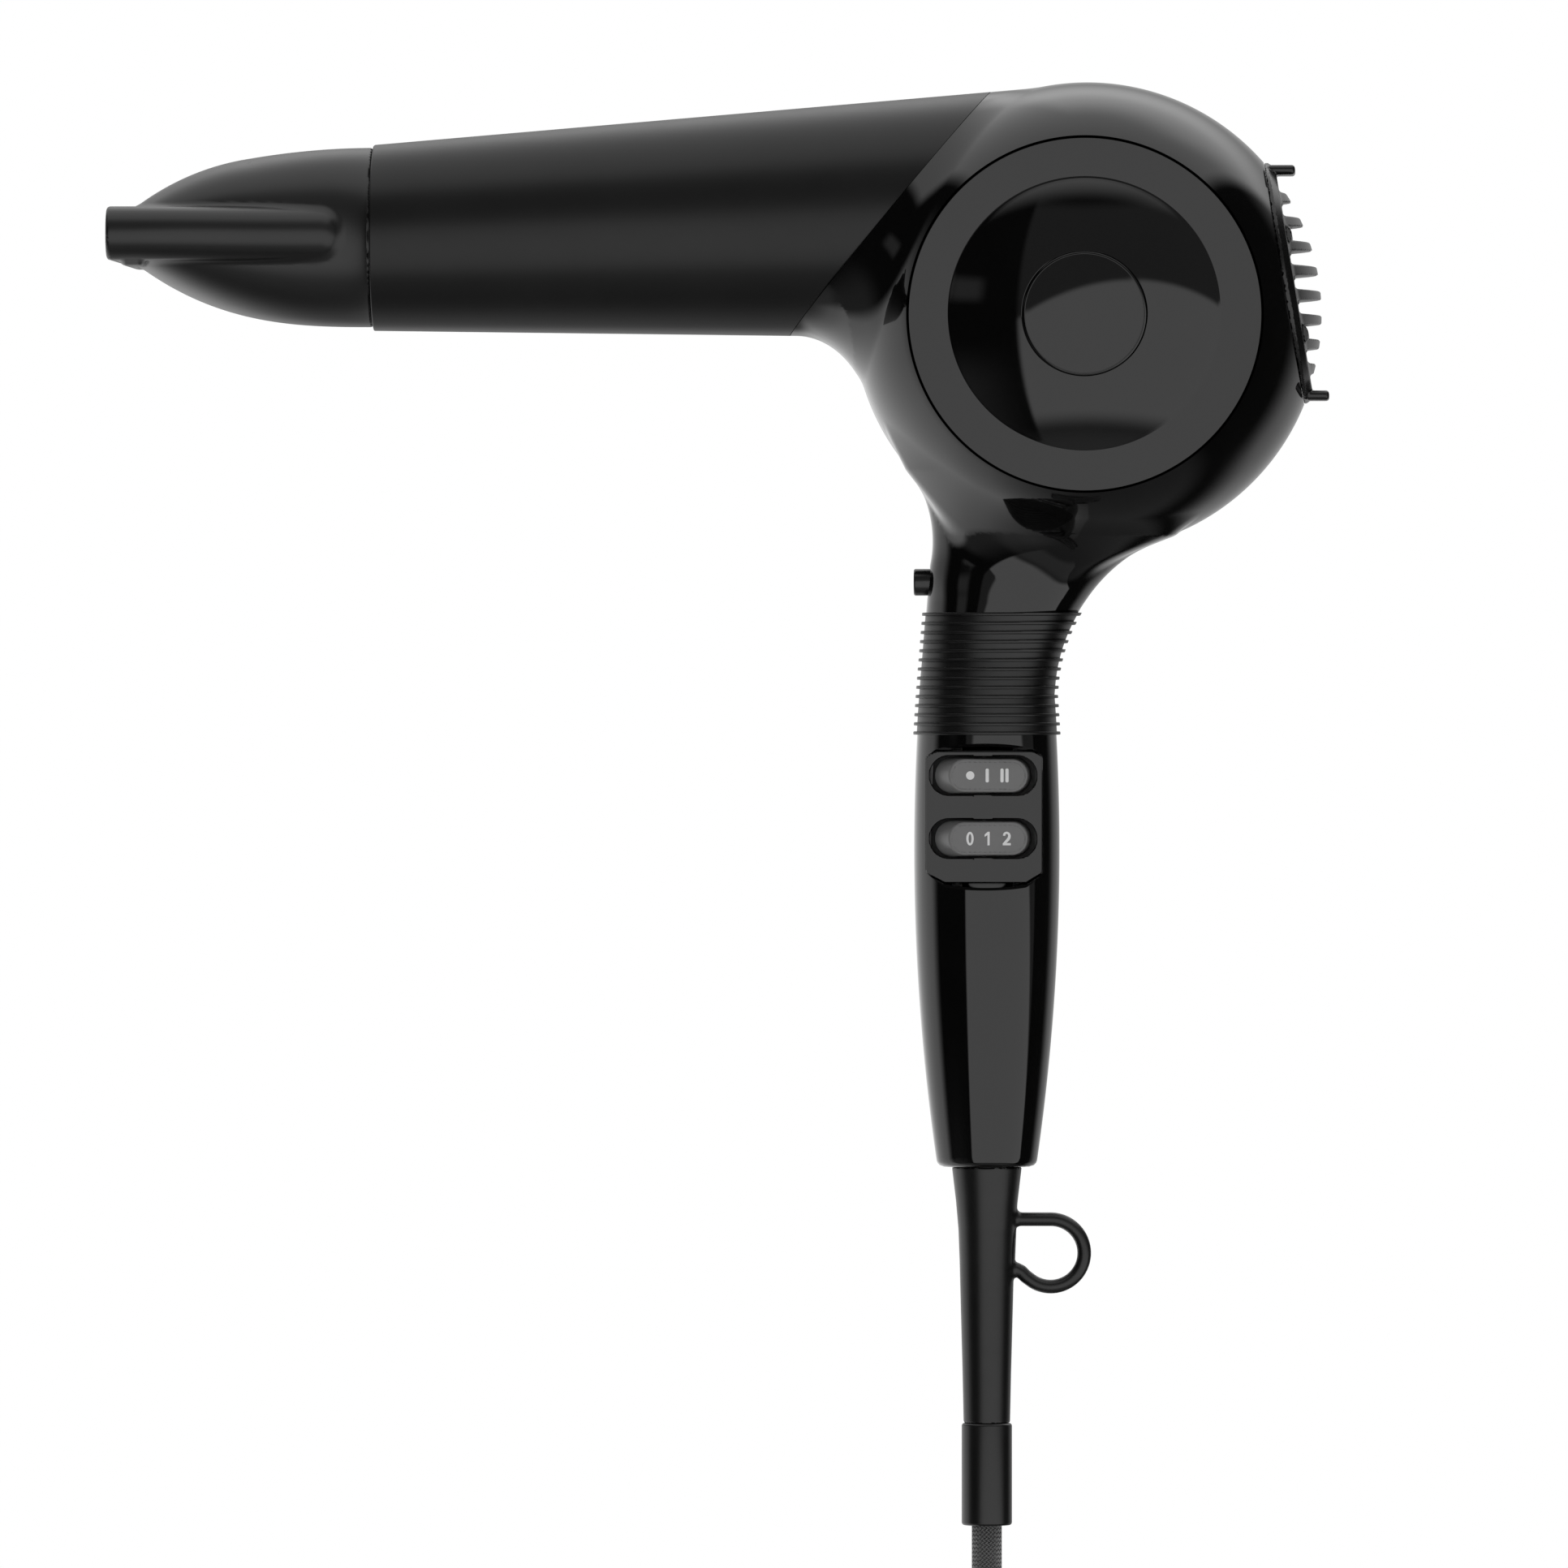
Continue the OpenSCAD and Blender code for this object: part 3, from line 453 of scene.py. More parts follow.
def painted_sheen_braid(name, strands=22):
    """Braid of two crossing sets of strands, laid out by the cord's own map: u round it, v along it. Its tone
    carries a painted sheen on the strands' crowns and painted shade in the gaps between them.
    """
    made, tree, shader = new_material(name, **{"Sheen Weight": 0.5, "Sheen Roughness": 0.4})
    where = tree.nodes.new("ShaderNodeUVMap")
    where.uv_map = "weave"
    split = tree.nodes.new("ShaderNodeSeparateXYZ")
    tree.links.new(where.outputs["UV"], split.inputs["Vector"])
    u, v = times(tree, split.outputs["X"], strands), times(tree, split.outputs["Y"], strands)
    sets = math_node(tree, "ADD", u, v), math_node(tree, "SUBTRACT", u, v)
    first, second = [math_node(tree, "ABSOLUTE", math_node(tree, "SINE", times(tree, way, math.pi)))
                     for way in sets]
    cells = math_node(tree, "ADD", *[math_node(tree, "FLOOR", way) for way in sets])
    over = math_node(tree, "PINGPONG", cells, 1.0)
    under = math_node(tree, "SUBTRACT", 1.0, over)
    height = math_node(tree, "ADD", times(tree, first, over), times(tree, second, under))
    # Painted sheen and shade: the black strands are painted lighter where they stand high and darker in the
    # gaps between them.
    tone = ramp(tree, height, (0.2, grey(0.004)), (0.65, grey(0.055)), (1.0, grey(0.16)))
    wire_up(tree, shader, tone, noise(tree, 900), (0.45, 0.68), height, 0.32)
    return made


# Dark and light tone, roughness and its swing, grain per metre and its depth in millimetres; then, where
# they aren't the usual ones, the grain's strength and detail, and the shine
PLASTICS = {
    "gloss_shell": (grey(0.0015), grey(0.0022), 0.05, 0.012, 420, 0.0012, 0.4, 2.0),
    "gloss_cover": (grey(0.0016), grey(0.0024), 0.05, 0.012, 380, 0.0012, 0.4, 2.0),
    "matte_sleeve": (grey(0.0025), grey(0.004), 0.35, 0.02, 1700, 0.002, 1.0, 3.0, 0.36),
    "satin_nozzle": (grey(0.003), grey(0.005), 0.35, 0.02, 1500, 0.002),
    "grille_black": (grey(0.003), grey(0.005), 0.25, 0.03, 1500, 0.002),
    "rubber_black": (grey(0.003), grey(0.005), 0.37, 0.03, 1500, 0.003),
    "rocker_grey": (grey(0.15), grey(0.165), 0.34, 0.03, 1800, 0.003),
    "inner_plastic": (grey(0.012), grey(0.022), 0.45, 0.06, 2600, 0.02),
    "carbon": (grey(0.02), grey(0.04), 0.6, 0.1, 2500, 0.03),
    "mica": ((0.36, 0.27, 0.14), (0.56, 0.45, 0.27), 0.35, 0.12, 700, 0.04),
    "board_green": ((0.012, 0.055, 0.022), (0.02, 0.09, 0.035), 0.35, 0.08, 1500, 0.02),
    "mark_white": (grey(0.8), grey(0.86), 0.4, 0.03, 2600, 0.004),
    "plug_black": (grey(0.008), grey(0.012), 0.4, 0.05, 3600, 0.02),
}
# Direction of the bands or none for cells, settings, dark and light tone with their places, wear per metre,
# range of roughness, depth in millimetres and how metallic it is
WINDING, FIBRE_ROUGH = {"Distortion": 0.6, "Detail": 1}, (0.6, 0.85)
PATTERNS = {
    "lamination_steel": ("Y", {"Scale": 300, "Distortion": 0.2}, (0.1, grey(0.12)), (0.5, grey(0.34)),
                         400, (0.3, 0.5), 0.05, 1.0),
    "copper_winding": ("DIAGONAL", {"Scale": 700, **WINDING}, (0.1, (0.22, 0.06, 0.02)),
                       (0.7, (0.72, 0.28, 0.11)), 500, (0.22, 0.4), 0.12, 0.9),
    "heating_wire": ("X", {"Scale": 900, **WINDING}, (0.1, (0.1, 0.09, 0.08)),
                     (0.7, (0.42, 0.38, 0.34)), 500, (0.22, 0.4), 0.12, 0.9),
    "filter_mesh": (None, {"Scale": 1600}, (0.1, grey(0.02)), (0.6, grey(0.09)), 300, FIBRE_ROUGH, 0.1, 0.0),
    "wire_sleeve": (None, {"Scale": 1400}, (0.1, grey(0.12)), (0.6, grey(0.3)), 300, FIBRE_ROUGH, 0.1, 0.0),
}
MATERIALS = {name: plastic(name, *values) for name, values in PLASTICS.items()}
MATERIALS.update((name, patterned(name, *values)) for name, values in PATTERNS.items())
MATERIALS["bright_steel"] = metal("bright_steel", grey(0.62), 0.24, 0.08, (1, 8, 1))
MATERIALS["pin_nickel"] = metal("pin_nickel", (0.7, 0.66, 0.58), 0.2, 0.07, (6, 6, 1))
MATERIALS["cord_braid"] = painted_sheen_braid("cord_braid")

# ---------------- the cord, its tie and its plug
CORD_R = 3.7
LEAD = [(0, 0, -209.8), (0, 0, -220), (0, -0.3, -230), (1, -1.2, -237.8), (4, -2.8, -245),
        (8.8, -4.6, -251.2), (15.9, -6.7, -258.3), (22.9, -8.4, -265.3), (29.9, -9.6, -272.4)]
TAIL = [(12.7, 18.1, -281.1), (23.8, 20.3, -287.6), (32.1, 22, -297.5), (36.3, 22.8, -308.3),
        (37.1, 23, -316), (37.1, 23, -322), (37.1, 23, -328)]
# Turns of the coil: angle run through, radius and place across the coil, from start to end
TURNS = [(0, 960, 51.9, 51.9, -10.15, 10.15), (960, 1080, 51.9, 44.5, 10.15, 10.15),
         (1080, 2040, 44.5, 44.5, 10.15, -10.15), (2040, 2160, 44.5, 37.1, -10.15, -10.15),
         (2160, 3120, 37.1, 37.1, -10.15, 10.15)]
LIFT_FROM, LIFT_TO, LIFT_R, LIFT_OUT = 3120, 3285, 37.1, 12.85
COIL_SIDE = 10.15
# The coil's points start at this angle, stand this far apart, and stop where the tail takes over
COIL_FIRST_ANGLE, COIL_STEP, COIL_STOP = 45, 8, 3206


def coil_point(phi):
    """Point of the coil after an angle run clockwise, seen from the switches' side."""
    radius, across = LIFT_R, COIL_SIDE
    for start, end, r0, r1, y0, y1 in TURNS:
        if start <= phi <= end:
            t = (phi - start) / (end - start)
            radius = r0 + (r1 - r0) * smooth(t)
            across = y0 + (y1 - y0) * t
            break
    if phi > LIFT_FROM:
        t = (phi - LIFT_FROM) / (LIFT_TO - LIFT_FROM)
        across += LIFT_OUT * (1 - math.cos(math.pi * t)) / 2
    angle = math.radians(COIL_FIRST_ANGLE - phi)
    return radius * math.cos(angle), across, COIL_Z + radius * math.sin(angle)


def curve_through(points, parts):
    """Smooth line through points, each stretch cut into that many parts."""
    points = np.array(points, float)
    padded = np.vstack((2 * points[0] - points[1], points, 2 * points[-1] - points[-2]))
    line = []
    for i in range(1, len(padded) - 2):
        a, b, c, d = padded[i - 1 : i + 3]
        for k in range(parts):
            t = k / parts
            line.append(0.5 * (2 * b + (c - a) * t + (2 * a - 5 * b + 4 * c - d) * t**2
                               + (3 * b - a - 3 * c + d) * t**3))
    line.append(points[-1])
    return np.array(line)


def tube_rings(line, radius, sides):
    """Rings round a line that turn as little as they can from one to the next."""
    way = np.gradient(line, axis=0)
    way /= np.linalg.norm(way, axis=1)[:, None]
    side = np.array((1.0, 0, 0))
    angle = round_angles(sides)
    rings = []
    for here, t in zip(line, way):
        side = side - (side @ t) * t
        side /= np.linalg.norm(side)
        other = np.cross(t, side)
        rings.append(here + radius * (np.cos(angle)[:, None] * side + np.sin(angle)[:, None] * other))
    return np.array(rings)


def make_cord():
    coil = [coil_point(phi) for phi in range(0, COIL_STOP, COIL_STEP)]
    line = curve_through(LEAD + coil + TAIL, 2)
    step = np.linalg.norm(np.diff(line, axis=0), axis=1)
    along = np.concatenate(([0], np.cumsum(step)))
    made = sweep_mesh("cord", tube_rings(line, CORD_R, 20), uv=along / (2 * math.pi * CORD_R))
    place(made, "housing", "cord_lead", "cord_coil", "cord_tail", slot="cord_braid")
    return made, line, along[-1]


def make_tie():
    """Rubber band with rounded edges, once round the coil's upper left."""
    low, high = span("cord_tie")
    centre = (low + high) / 2
    lean, half_x, half_y, thick, wide = math.radians(25), 11.7, 14.3, 1.5, 9
    half = wide / 2
    section = fillet([(0, -half, 0.5), (thick, -half, 0.5), (thick, half, 0.5), (0, half, 0.5)])
    rows = []
    for out, along in section:
        x, y, r = half_x + out, half_y + out, 5 + out
        ring = fillet([(-x, -y, r), (x, -y, r), (x, y, r), (-x, y, r)], steps=8)
        rows.append([(a * math.cos(lean) + along * math.sin(lean), b,
                      -a * math.sin(lean) + along * math.cos(lean)) for a, b in ring] + centre)
    band = sweep_mesh("cord_band", rows, round_trip=True)
    stud = turned("cord_band_stud", fillet([(0, 0, 0), (2.2, 0, 0.3), (2.2, 1.6, 0.6), (0, 1.6, 0)], False),
                  (centre[0], low[1] - 0.2, centre[2]), (0, -1, 0), 40)
    place(stud, "housing", slot="bright_steel")
    return place(band, "housing", "cord_tie", slot="rubber_black"), stud


def power_ring(z, half_x, half_y, power, centre, columns=72):
    angle = (np.arange(columns) + 0.5) * 2 * math.pi / columns
    c, s = np.cos(angle), np.sin(angle)
    x = np.sign(c) * np.abs(c) ** (2 / power) * half_x
    y = np.sign(s) * np.abs(s) ** (2 / power) * half_y
    return np.stack((centre[0] + x, centre[1] + y, np.full(columns, z)), 1)


def make_plug():
    """Flat two-pin plug with a ribbed sleeve, finger hollows and a round pin face."""
    x, y = (PLUG_LOW[0] + PLUG_HIGH[0]) / 2, (PLUG_LOW[1] + PLUG_HIGH[1]) / 2
    top, low, half_x, half_y = PLUG_HIGH[2], PLUG_LOW[2], (PLUG_HIGH[0] - PLUG_LOW[0]) / 2, 8.4
    sleeve_long, neck_r, face_power = 18, 7.2, 3.4

    def ring(z, wide, deep=None, power=2):
        return power_ring(z, wide, deep or wide, power, (x, y))

    rows = [ring(top, 4.1), ring(top - 0.5, 4.6)]
    for k in range(6):
        z, r = top - 2.2 - 2.7 * k, 4.8 + 0.4 * k
        rows += [ring(z + 0.3, r), ring(z, r - 0.8), ring(z - 0.9, r - 0.8), ring(z - 1.2, r + 0.2)]
    length = top - sleeve_long - low
    for k in range(25):
        t = k / 24
        grow = smooth(t)
        hollow = 1.6 * math.exp(-(((t - 0.42) / 0.14) ** 2))
        wide = neck_r + (half_x - neck_r) * math.sin(math.pi / 2 * min(1, t * 1.7)) - hollow
        rows.append(ring(top - sleeve_long - t * (length - 1.2), wide, neck_r + (half_y - neck_r) * grow,
                         2 + (face_power - 2) * grow))
    rows += [ring(low + 0.3, half_x - 0.4, half_y - 0.4, face_power),
             ring(low, half_x - 1.2, half_y - 1.2, face_power)]
    plug = sweep_mesh("mains_plug", rows, sharp=40)
    place(plug, "housing", "plug_body", slot="plug_black")
    pin_r = (PIN_HIGH[1] - PIN_LOW[1]) / 2
    foot, head = PIN_LOW[2], PIN_HIGH[2]
    shape = fillet([(0, head, 0), (pin_r, head, 0), (pin_r, foot, 1.9), (0, foot, 0)], False, 8)
    pins = [turned(f"plug_pin_{k}", shape, (px, y, 0), (0, 0, 1), 40)
            for k, px in enumerate((PIN_LOW[0] + pin_r, PIN_HIGH[0] - pin_r))]
    place(pins[0], "housing", "plug_pins", slot="pin_nickel")
    place(pins[1], "housing", slot="pin_nickel")
    return plug, pins


cord, cord_line, cord_length = make_cord()
tie, tie_stud = make_tie()
plug, plug_pins = make_plug()


# ---------------- fields: distance-like functions in millimetres
def united(a, b, radius):
    """Union of two fields with a round fillet where they meet at an angle."""
    inside = np.hypot(np.maximum(radius - a, 0), np.maximum(radius - b, 0))
    return np.maximum(radius, np.minimum(a, b)) - inside


def common(a, b, radius):
    """Intersection of two fields with a rounded edge."""
    outside = np.hypot(np.maximum(a + radius, 0), np.maximum(b + radius, 0))
    return np.minimum(-radius, np.maximum(a, b)) + outside


def slab(value, low, high):
    return np.abs(value - (low + high) / 2) - (high - low) / 2


def power_field(x, y, half_x, half_y, power):
    """Nearly a distance to a superellipse, from its size and its own slope."""
    ax, ay = np.abs(x) / half_x, np.abs(y) / half_y
    size = np.maximum((ax**power + ay**power) ** (1 / power), 1e-6)
    slope = np.hypot((ax / size) ** (power - 1) / half_x, (ay / size) ** (power - 1) / half_y)
    return (size - 1) / slope


# ---------------- head, neck and handle
RIM_FROM, RIM_HIGH = 20, 47.1
RIM_DEEP = HEAD_R - RIM_FROM
BARREL_TILT, BARREL_CONE = math.radians(2.07), math.radians(2.79)
MOUTH = np.array((MOUTH_X, 0, 107.36))
MOUTH_R = 22.9
CONE_FROM, CONE_TO = 92, 172
BARREL_WAY = np.array((math.cos(BARREL_TILT), 0, math.sin(BARREL_TILT)))
SEAM_AT, SEAM_LEAN = (-48.2, 83.4), 39.5
BARREL_FILLET = 14
NECK_FILLET_THIN, NECK_FILLET_WIDE = 2.5, 12
FRONT_NECK, FRONT_NECK_R = (-43.6, 32.6), 30.2
REAR_NECK, REAR_NECK_R = (58, -4.3), 40.35
HANDLE_HALF, HANDLE_POWER = 17.9, 2.1
WIDEST_Z, WIDTH_FALL = -43.35, 1064
GRILLE_LEAN = 9.5
GRILLE_WAY = np.array((math.cos(math.radians(GRILLE_LEAN)), 0, math.sin(math.radians(GRILLE_LEAN))))
GRILLE_DOWN = np.array((GRILLE_WAY[2], 0, -GRILLE_WAY[0]))
GRILLE_CUT = 49.1
HEAD = np.array((HEAD_X, 0, HEAD_Z))
HEAD_SPARE = 2.5


def handle_width(z):
    return HANDLE_HALF - (z - WIDEST_Z) ** 2 / WIDTH_FALL


def front_x(z):
    neck = FRONT_NECK[0] + np.sqrt(FRONT_NECK_R**2 - (np.clip(z, 14, 50) - FRONT_NECK[1]) ** 2)
    straight = blend(-handle_width(4), -14.1, (z - 4) / 22)
    above = blend(straight, neck, smooth((z - 18) / 12))
    return np.where(z > 4, above, -handle_width(z))


def rear_x(z):
    neck = REAR_NECK[0] - np.sqrt(REAR_NECK_R**2 - (np.clip(z, -30, 34) - REAR_NECK[1]) ** 2)
    return np.where(z > -4, neck - blend(1, 0, (z + 4) / 22), handle_width(z))


def half_depth(z):
    return np.where(z > 4, blend(handle_width(4), 19, smooth((z - 26) / 26)), handle_width(z))


def handle_field(p):
    z = np.clip(p[:, 2], HANDLE_LOW - 5, 60)
    front, rear = front_x(z), rear_x(z)
    side = power_field(p[:, 0] - (front + rear) / 2, p[:, 1], (rear - front) / 2, half_depth(z), HANDLE_POWER)
    ends = np.maximum(HANDLE_LOW - p[:, 2], p[:, 2] - 58)
    return common(side, ends, 1.6)


def drum_field(p):
    """The head: a drum whose rim is an ellipse in section. Also returns its outward direction."""
    dx, dz = p[:, 0] - HEAD_X, p[:, 2] - HEAD_Z
    out = np.hypot(dx, dz)
    q = np.maximum(out - RIM_FROM, 0) / RIM_DEEP
    w = p[:, 1] / RIM_HIGH
    size = np.maximum(np.hypot(q, w), 1e-6)
    steep = np.hypot(q / RIM_DEEP, w / RIM_HIGH)
    distance = (size - 1) * size / np.maximum(steep, 1e-9)
    way = np.stack((q / RIM_DEEP * dx / np.maximum(out, 1e-9), w / RIM_HIGH,
                    q / RIM_DEEP * dz / np.maximum(out, 1e-9)), 1) / np.maximum(steep, 1e-9)[:, None]
    return distance, way


def cone_field(p):
    """Distance to the barrel's endless cone, the place along its axis, and the outward direction."""
    from_mouth = p - MOUTH
    along = from_mouth @ BARREL_WAY
    out = from_mouth - along[:, None] * BARREL_WAY
    far = np.linalg.norm(out, axis=1)
    distance = (far - MOUTH_R - along * math.tan(BARREL_CONE)) * math.cos(BARREL_CONE)
    return distance, along, out / np.maximum(far, 1e-9)[:, None]


def body_field(p):
    """Head, barrel root and handle as one skin: the fillet grows with the angle between the two forms."""
    drum, drum_way = drum_field(p)
    cone, along, cone_way = cone_field(p)
    cone = np.maximum(cone, slab(along, CONE_FROM, CONE_TO))
    apart = 1 - (drum_way * cone_way).sum(1)
    fillet_r = BARREL_FILLET * np.clip(apart / 0.8, 0, 1) + 0.01
    neck_r = blend(NECK_FILLET_THIN, NECK_FILLET_WIDE, smooth((np.abs(p[:, 1]) - 2) / 13))
    whole = united(united(drum, cone, fillet_r), handle_field(p), neck_r)
    return np.maximum(whole, np.abs(p[:, 1]) - HEAD_HALF - HEAD_SPARE)


COVER_SEAT_R, COVER_SEAT_Y = RING_R + 0.5, 32.8
SHELL_WALL, COVER_BACK = 2.4, 30.6
# The groove round the ring and the one round the hub cap slant: how far across, and how deep
SEAT_GROOVE, CAP_GROOVE, GROOVE_DEEP = 0.7, 0.8, 1.1
# Screw wells in the right half: x, z and the skin's distance from the middle
SCREW_WELLS = [(-9.6, 53.6, 28), (60.1, 52.5, 27.5), (0, -7, 15), (0, -104, 13)]
WELL_R, WELL_DEEP = 2.8, 6.4
POCKET = fillet([(-14.9, -20.2, 1.2), (-12.4, -19.0, 2), (11.6, -19.0, 2), (14.0, -20.2, 1.2),
                 (14.0, -49.0, 1.2), (9.9, -51.5, 1), (-10.1, -51.5, 1), (-14.9, -49.0, 1.2)], steps=5)


def outline_plate(name, outline, levels):
    """Closed solid between copies of an (x, z) outline: each level is (y, grow in x, grow up, grow down)."""
    middle = (outline.min(0) + outline.max(0)) / 2
    half = (outline.max(0) - outline.min(0)) / 2
    rows = []
    for y, grow_x, grow_up, grow_down in levels:
        shift = (outline - middle) / half
        x = outline[:, 0] + shift[:, 0] * grow_x
        z = outline[:, 1] + np.where(shift[:, 1] > 0, grow_up, grow_down) * shift[:, 1]
        rows.append(np.stack((x, np.full(len(x), y), z), 1))
    return sweep_mesh(name, rows)


def seat_cutter(side):
    """Recess for a side cover, with a slanted groove at its edge, and the round hole behind it."""
    profile = [(36, 10), (36, COVER_SEAT_Y), (COVER_SEAT_R - SEAT_GROOVE, COVER_SEAT_Y),
               (COVER_SEAT_R, COVER_SEAT_Y - GROOVE_DEEP), (COVER_SEAT_R, HEAD_HALF + 14)]
    return turned_cutter(profile, HEAD, (0, side, 0), 240)


def grille_cutters():
    """The slanted cut across the intake, and the hole for the grille's collar."""
    cut = block((GRILLE_CUT, -60, -70), (GRILLE_CUT + 40, 60, 70), -GRILLE_LEAN, (HEAD_X, HEAD_Z))
    profile = [(26, 41), (26, GRILLE_CUT - 0.5), (26.5, GRILLE_CUT + 0.01), (26.5, 60)]
    return cut, turned_cutter(profile, HEAD, GRILLE_WAY)


def seam_cutter():
    return block((-300, -100, -300), (0, 100, 300), SEAM_LEAN, SEAM_AT)


def copy_of(piece, name):
    twin = piece.copy()
    twin.data = piece.data.copy()
    twin.name = name
    bpy.context.scene.collection.objects.link(twin)
    return twin


def make_shell(side, form, hollow):
    """One half of the housing: the skin's outside less its inside, split down the middle and opened."""
    name = sided("shell", side)
    piece, inner = copy_of(form, name + "_skin"), copy_of(hollow, "cutter")
    near, far = sorted((side * 0.05, side * 100))
    carve(piece, block((-300, near, -300), (300, far, 300)), operation="INTERSECT")
    carve(piece, inner, seat_cutter(side), *grille_cutters(), seam_cutter())
    hole = [(3.7, -20), (3.7, 3.2), (4.1, 3.7), (4.1, 12)]
    button = turned_cutter(hole, (-10, 0, BUTTON_Z), (-1, 0, 0), 64)
    outlet = turned_cutter([(7.5, -6), (7.5, 8)], (0, 0, HANDLE_LOW), (0, 0, 1), 64)
    carve(piece, button, outlet)
    if side < 0:
        levels = [(-8, 0, 0, 0), (PANEL_LOW[1] + 0.1, 0, 0, 0), (PANEL_LOW[1] - 7, 0.5, 2.2, 1.9)]
        carve(piece, outline_plate("cutter", POCKET, levels))
    else:
        carve(piece, *[turned_cutter([(WELL_R, y - WELL_DEEP), (WELL_R, 50)], (x, 0, z), (0, 1, 0), 40)
                       for x, z, y in SCREW_WELLS])
    smooth_from(piece, body_field)
    place(piece, "housing", name, slot="gloss_shell")


def room_field(p):
    """The housing's inside: a wall's thickness under the skin, and flat behind the side covers."""
    return np.maximum(body_field(p) + SHELL_WALL, np.abs(p[:, 1]) - COVER_BACK)


def make_shells():
    low, high = (-66, -41, HANDLE_LOW - 2.5), (86, 41, HEAD_Z + HEAD_R + 2)
    form = field_object("form", body_field, low, high, 1.1)
    hollow = field_object("hollow", room_field, low, high, 2.2)
    for side in (-1, 1):
        make_shell(side, form, hollow)
    bpy.data.objects.remove(form)
    bpy.data.objects.remove(hollow)


# ---------------- side covers and hub caps
DOME_CENTRE = HEAD_HALF - math.sqrt(DOME_R**2 - DOME_EDGE**2)
SEAT_DEEP, CAP_GAP = 4.7, 0.22
RIM_IN, RIM_OUT = 33.8, 35.6


def dome_height(radius):
    return DOME_CENTRE + math.sqrt(DOME_R**2 - radius**2)


def make_cover(side):
    """Flat ring round a shallow dome, with a round seat for the hub cap."""
    seat, rim, foot = dome_height(0) - SEAT_DEEP, CAP_R + CAP_GAP, COVER_SEAT_Y + 0.05
    dome = [(r, dome_height(r), 0) for r in np.linspace(rim + 0.12, DOME_EDGE - 1, 24)]
    under = [(r, dome_height(r) - 2.2, 0) for r in np.linspace(DOME_EDGE - 1, CAP_R + 2.2, 8)]
    corners = [(10, seat, 0), (rim - CAP_GROOVE, seat, 0), (rim, seat - GROOVE_DEEP, 0),
               (rim, dome_height(rim) - 0.1, 0), *dome,
               (DOME_EDGE, HEAD_HALF, 1.2), (RING_R, HEAD_HALF, 0.2), (RING_R, foot, 0),
               (RIM_OUT, foot, 0), (RIM_OUT, 31.6, 0), (RIM_IN, 31.6, 0), (RIM_IN, 33.2, 0),
               *under, (CAP_R + 2, seat - 1.6, 0), (10, seat - 1.6, 0)]
    name = sided("side_cover", side)
    piece = turned(name + "_dish", fillet(corners, steps=6), HEAD, (0, side, 0), 240)
    place(piece, "housing", name, slot="gloss_cover")


def make_cap(side):
    """Hub cap flush with the dome, with a fine groove inside its rim."""
    groove, foot = dome_height(CAP_R) - 0.28, dome_height(0) - SEAT_DEEP + 0.1
    face = [(r, dome_height(r), 0) for r in np.linspace(0.4, CAP_R - 0.62, 14)]
    corners = [(0, dome_height(0), 0), *face, (CAP_R - 0.56, groove, 0), (CAP_R - 0.44, groove, 0),
               (CAP_R - 0.36, dome_height(CAP_R - 0.36), 0), (CAP_R - 0.08, dome_height(CAP_R), 0),
               (CAP_R, dome_height(CAP_R) - 0.08, 0), (CAP_R, foot, 0), (0, foot, 0)]
    name = sided("hub_cap", side)
    piece = turned(name + "_disc", fillet(corners, False), HEAD, (0, side, 0), 200)
    place(piece, "housing", name, slot="gloss_cover")


# ---------------- barrel sleeve
def make_barrel():
    """Tapered soft-touch sleeve, cut off along the leaning seam."""
    slope = math.tan(BARREL_CONE)
    outside = [(MOUTH_R + s * slope, s, 0) for s in (-2, 20, 60, 110, 150, 175)]
    inside = [(MOUTH_R - 1.5 + s * slope, s, 0) for s in (175, 110, 60, 13)]
    profile = fillet(outside + inside + [(21.6, 12.6, 0), (21.6, -2, 0)])
    piece = turned("barrel_skin", profile, MOUTH, BARREL_WAY, 240)
    front = block((MOUTH_X - 20, -50, 0), (MOUTH_X, 50, 200))
    edge = [(MOUTH_R - 0.45, -0.5), (MOUTH_R + 0.35, 0.75), (30, 0.75), (30, -0.5)]
    chamfer = turned("cutter", edge, MOUTH, (1, 0, 0), 240)
    behind = block((-0.14, -100, -300), (300, 100, 300), SEAM_LEAN, SEAM_AT)
    carve(piece, front, chamfer, behind)
    smooth_from(piece, lambda p: cone_field(p)[0])
    place(piece, "housing", "barrel_sleeve", slot="matte_sleeve")


# ---------------- nozzle
NOZZLE_Z, SLOT_Z, SLOT_TALL = 107.5, 108, 13.2
NOZZLE_RUN = 57.1
NOZZLE_REAR = MOUTH_X - 0.2
NOZZLE_TIP = NOZZLE_LOW[0]
NOZZLE_SIDE_R, NOZZLE_WALL, HOOD_INSET = 22.1, 1.8, 9
SLOT_OPEN_R, SLOT_EDGE = 3.8, 2.8


def nozzle_share(x):
    return np.clip((MOUTH_X - x) / NOZZLE_RUN, 0, 1)


def nozzle_top(x):
    near = blend(129.6, 127, ((MOUTH_X - x) / 30.1) ** 2)
    far = 68.3 + np.sqrt(59.3**2 - (np.maximum(x, NOZZLE_TIP + 4) + 172.7) ** 2)
    return np.where(x > -181.2, near, far)


def nozzle_low(x):
    return blend(85.4, 99.8, np.maximum((MOUTH_X - x) / NOZZLE_RUN, 0) ** 2.85)


def nozzle_side(x):
    return NOZZLE_SIDE_R + (SLOT_HALF - NOZZLE_SIDE_R) * np.sin(math.pi / 2 * nozzle_share(x)) ** 1.6


